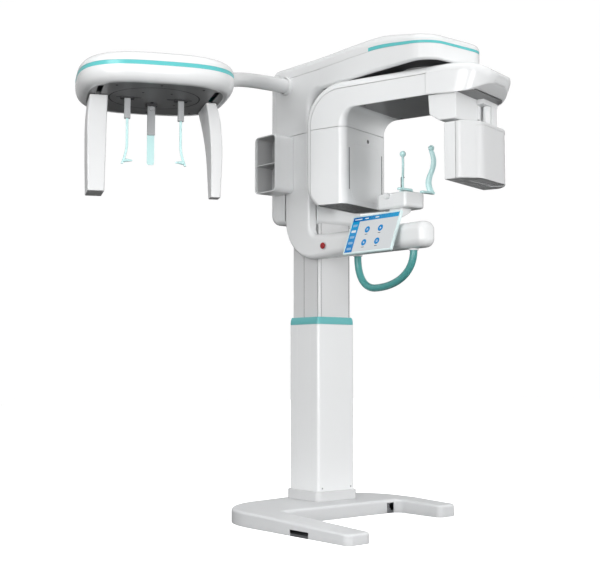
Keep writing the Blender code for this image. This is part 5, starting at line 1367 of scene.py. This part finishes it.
settle(shoe, wiper_black, "nasion")
back = nasion_y + 0.008 + 0.0003
levels = []
for high in np.linspace(0.0, 0.190, 28):
    push = back + 0.0010 * np.clip(1 - high / 0.055, 0, 1) ** 2
    half = 0.016 - 0.0035 * np.clip(1 - high / 0.012, 0, 1) ** 2
    levels.append((box_outline(about(0.0, half), (push, push + 0.0046), 0.0018), 1.6145 + high))
pad = skin("nasion_pad_strip", levels, place=to_ceph)
settle(pad, pale_plastic, "nasion_pad", ["nasion_pad"], angle=50)


# The posts: white mouldings of changing section that hang from sliders, the sensor's at the far
# side and the collimator's at the near one.

post_top, post_end = ceph_low - 0.0006, 1.470


def post(name, x, middle, sections, body):
    """Post that hangs from a slider, through (x low, x high, y low, y high, height) sections."""
    levels = slider_levels(x, middle, 0.018, 0.035, 0.006, 0.025, 0.014)[:-1]
    levels += box_levels(x, middle, 0.004, [(0.006, 0.025, post_top)])
    spans, heights = np.array(sections)[:, :4], np.array(sections)[:, 4]
    inside = np.linspace(post_top - 0.0015, post_end + 0.0015, 40)
    draw_in = np.array([1, -1, 1, -1])
    rows = [(spans[0] + 0.002 * draw_in, 0.005, post_top)]
    rows += [(span, 0.006, height) for span, height in zip(smooth(spans, -heights, -inside), inside)]
    rows.append((spans[-1] + 0.0015 * draw_in, 0.005, post_end))
    levels += [(box_outline(span[:2], span[2:], radius), height) for span, radius, height in rows]
    piece = skin(name + "_moulding", levels[::-1], place=to_ceph)
    settle(piece, soft_white, body, [name])


post("sensor_post", -0.242, 0.040, (
    (-0.276, -0.200, -0.035, 0.130, post_top), (-0.283, -0.203, -0.035, 0.128, 1.800),
    (-0.284, -0.206, -0.035, 0.126, 1.650), (-0.280, -0.210, -0.035, 0.124, post_end)), "ceph_sensor")
post("collimator_post", 0.242, 0.100, (
    (0.225, 0.270, 0.000, 0.205, post_top), (0.236, 0.288, 0.004, 0.190, 1.820),
    (0.248, 0.300, 0.012, 0.160, 1.720), (0.255, 0.298, 0.030, 0.098, post_end)), "ceph_collimator")


# The head's arm: a bent white tube from the carriage that tapers to the cap and enters it through
# the side, with a collar round it at the carriage.

arm_start = np.array([arm_face - 0.0003, 0.060, 2.170])
arm_bend = np.array([-0.520, 0.020, 2.165])
arm_end = np.array([-0.960, -0.470, 1.962])
tube_r, tube_wall = 0.038, 0.004
pull, push = arm_start + (-0.225, 0.0, -0.003), arm_end + (arm_bend - arm_end) * 2 / 3
route = bezier(arm_start, pull, push, arm_end, 60)
radii = tube_r - 0.007 * np.linspace(0, 1, 61)
outer, inner = [sweep(route, radii - wall, (0, 0, 1), 44, first=(-1, 0, 0)) for wall in (0.0, tube_wall)]
tube = solid("ceph_arm_bent", np.concatenate([outer, inner[::-1]]), closed=True)
carve(tube, cap_skin("tool", [(inset - 0.0003, height) for inset, height in rim_side + lid_side]))
white(tube, "lift", "ceph_arm_tube", angle=50)
bore = tube_r + 0.0029
profile = [(bore, 0.0), (0.047, 0.0), (0.047, 0.0140), (0.0455, 0.0175), (0.0430, 0.0200), (bore, 0.0200)]
collar = lathe("ceph_arm_collar_ring", raised(profile, arm_start[0], -1), arm_start[1:], "x", 56, closed=True)
white(collar, "lift", "ceph_arm_collar", edge=0.0004)


# The floor is a plain pale sweep. Nothing of it belongs to the object.
# A key from the front right, a broad fill from the left, softer lights between and above them,
# one from behind and a bright surround light it.

def pale_sheet(name, spots, faces, **fixed):
    """Glowing surface behind the object, which lights nothing and isn't mirrored."""
    mesh = bpy.data.meshes.new(name)
    mesh.from_pydata(spots, [], faces)
    mesh.materials.append(Look(name + "_pale", Emission_Color=(1, 1, 1, 1), **fixed).material)
    item = bpy.data.objects.new(name, mesh)
    bpy.context.scene.collection.objects.link(item)
    item.visible_diffuse = False
    item.visible_glossy = False
    return item


floor = pale_sheet("floor", [(-30, -30, 0), (30, -30, 0), (30, 30, 0), (-30, 30, 0)], [(0, 1, 2, 3)],
                   Base_Color=(0.93, 0.93, 0.93, 1.0), Roughness=0.9, Emission_Strength=0.92)
spots = [(x, y, z) for z in (-1, 30) for x, y in ((-25, -25), (16, -25), (16, 14), (-25, 14))]
backdrop = pale_sheet("backdrop", spots, [(0, 1, 5, 4), (1, 2, 6, 5), (2, 3, 7, 6), (3, 0, 4, 7)],
                      Base_Color=(0, 0, 0, 1), Roughness=1.0, Emission_Strength=1.0)


def area_light(name, place, aim, power, size, mirrored=True):
    lamp = bpy.data.lights.new(name, "AREA")
    lamp.energy = power
    lamp.shape = "DISK"
    lamp.size = size
    item = bpy.data.objects.new(name, lamp)
    item.location = place
    item.visible_glossy = mirrored
    item.rotation_euler = (Vector(aim) - Vector(place)).to_track_quat("-Z", "Y").to_euler()
    bpy.context.scene.collection.objects.link(item)


area_light("key", (3.2, -6.0, 1.8), (0, -0.3, 1.3), 180, 3.0, mirrored=False)
area_light("fill", (-5.8, -2.6, 1.6), (0, -0.3, 1.3), 205, 4.0)
area_light("front", (-3.2, -5.6, 1.1), (0, -0.3, 1.5), 90, 2.2)
area_light("top", (-0.5, -0.8, 6.5), (0, -0.3, 1.0), 60, 4.0)
area_light("rear", (2.0, 6.0, 2.6), (0, -0.3, 1.3), 110, 3.5, mirrored=False)
world = bpy.data.worlds.new("surround")
bpy.context.scene.world = world
world.use_nodes = True
nodes, links = world.node_tree.nodes, world.node_tree.links
spot = nodes.new("ShaderNodeTexCoord")
parts = nodes.new("ShaderNodeSeparateXYZ")
shade = nodes.new("ShaderNodeMapRange")
for socket, value in (("From Min", -0.3), ("From Max", 0.5), ("To Min", 0.05), ("To Max", 0.62)):
    shade.inputs[socket].default_value = value
links.new(spot.outputs["Generated"], parts.inputs[0])
links.new(parts.outputs["Z"], shade.inputs["Value"])
links.new(shade.outputs[0], nodes["Background"].inputs[1])
nodes["Background"].inputs[0].default_value = (1.0, 1.0, 1.0, 1.0)
bpy.context.scene.view_settings.view_transform = "Standard"

camera = bpy.data.cameras.new("photo_view")
camera.sensor_width = 36
camera.lens = 67.218
photo_view = bpy.data.objects.new("photo_view", camera)
photo_view.location = (-3.7258, -4.3728, 0.744)
photo_view.rotation_euler = (radians(94.228), 0.0, radians(-39.325))
bpy.context.scene.collection.objects.link(photo_view)
bpy.context.scene.camera = photo_view
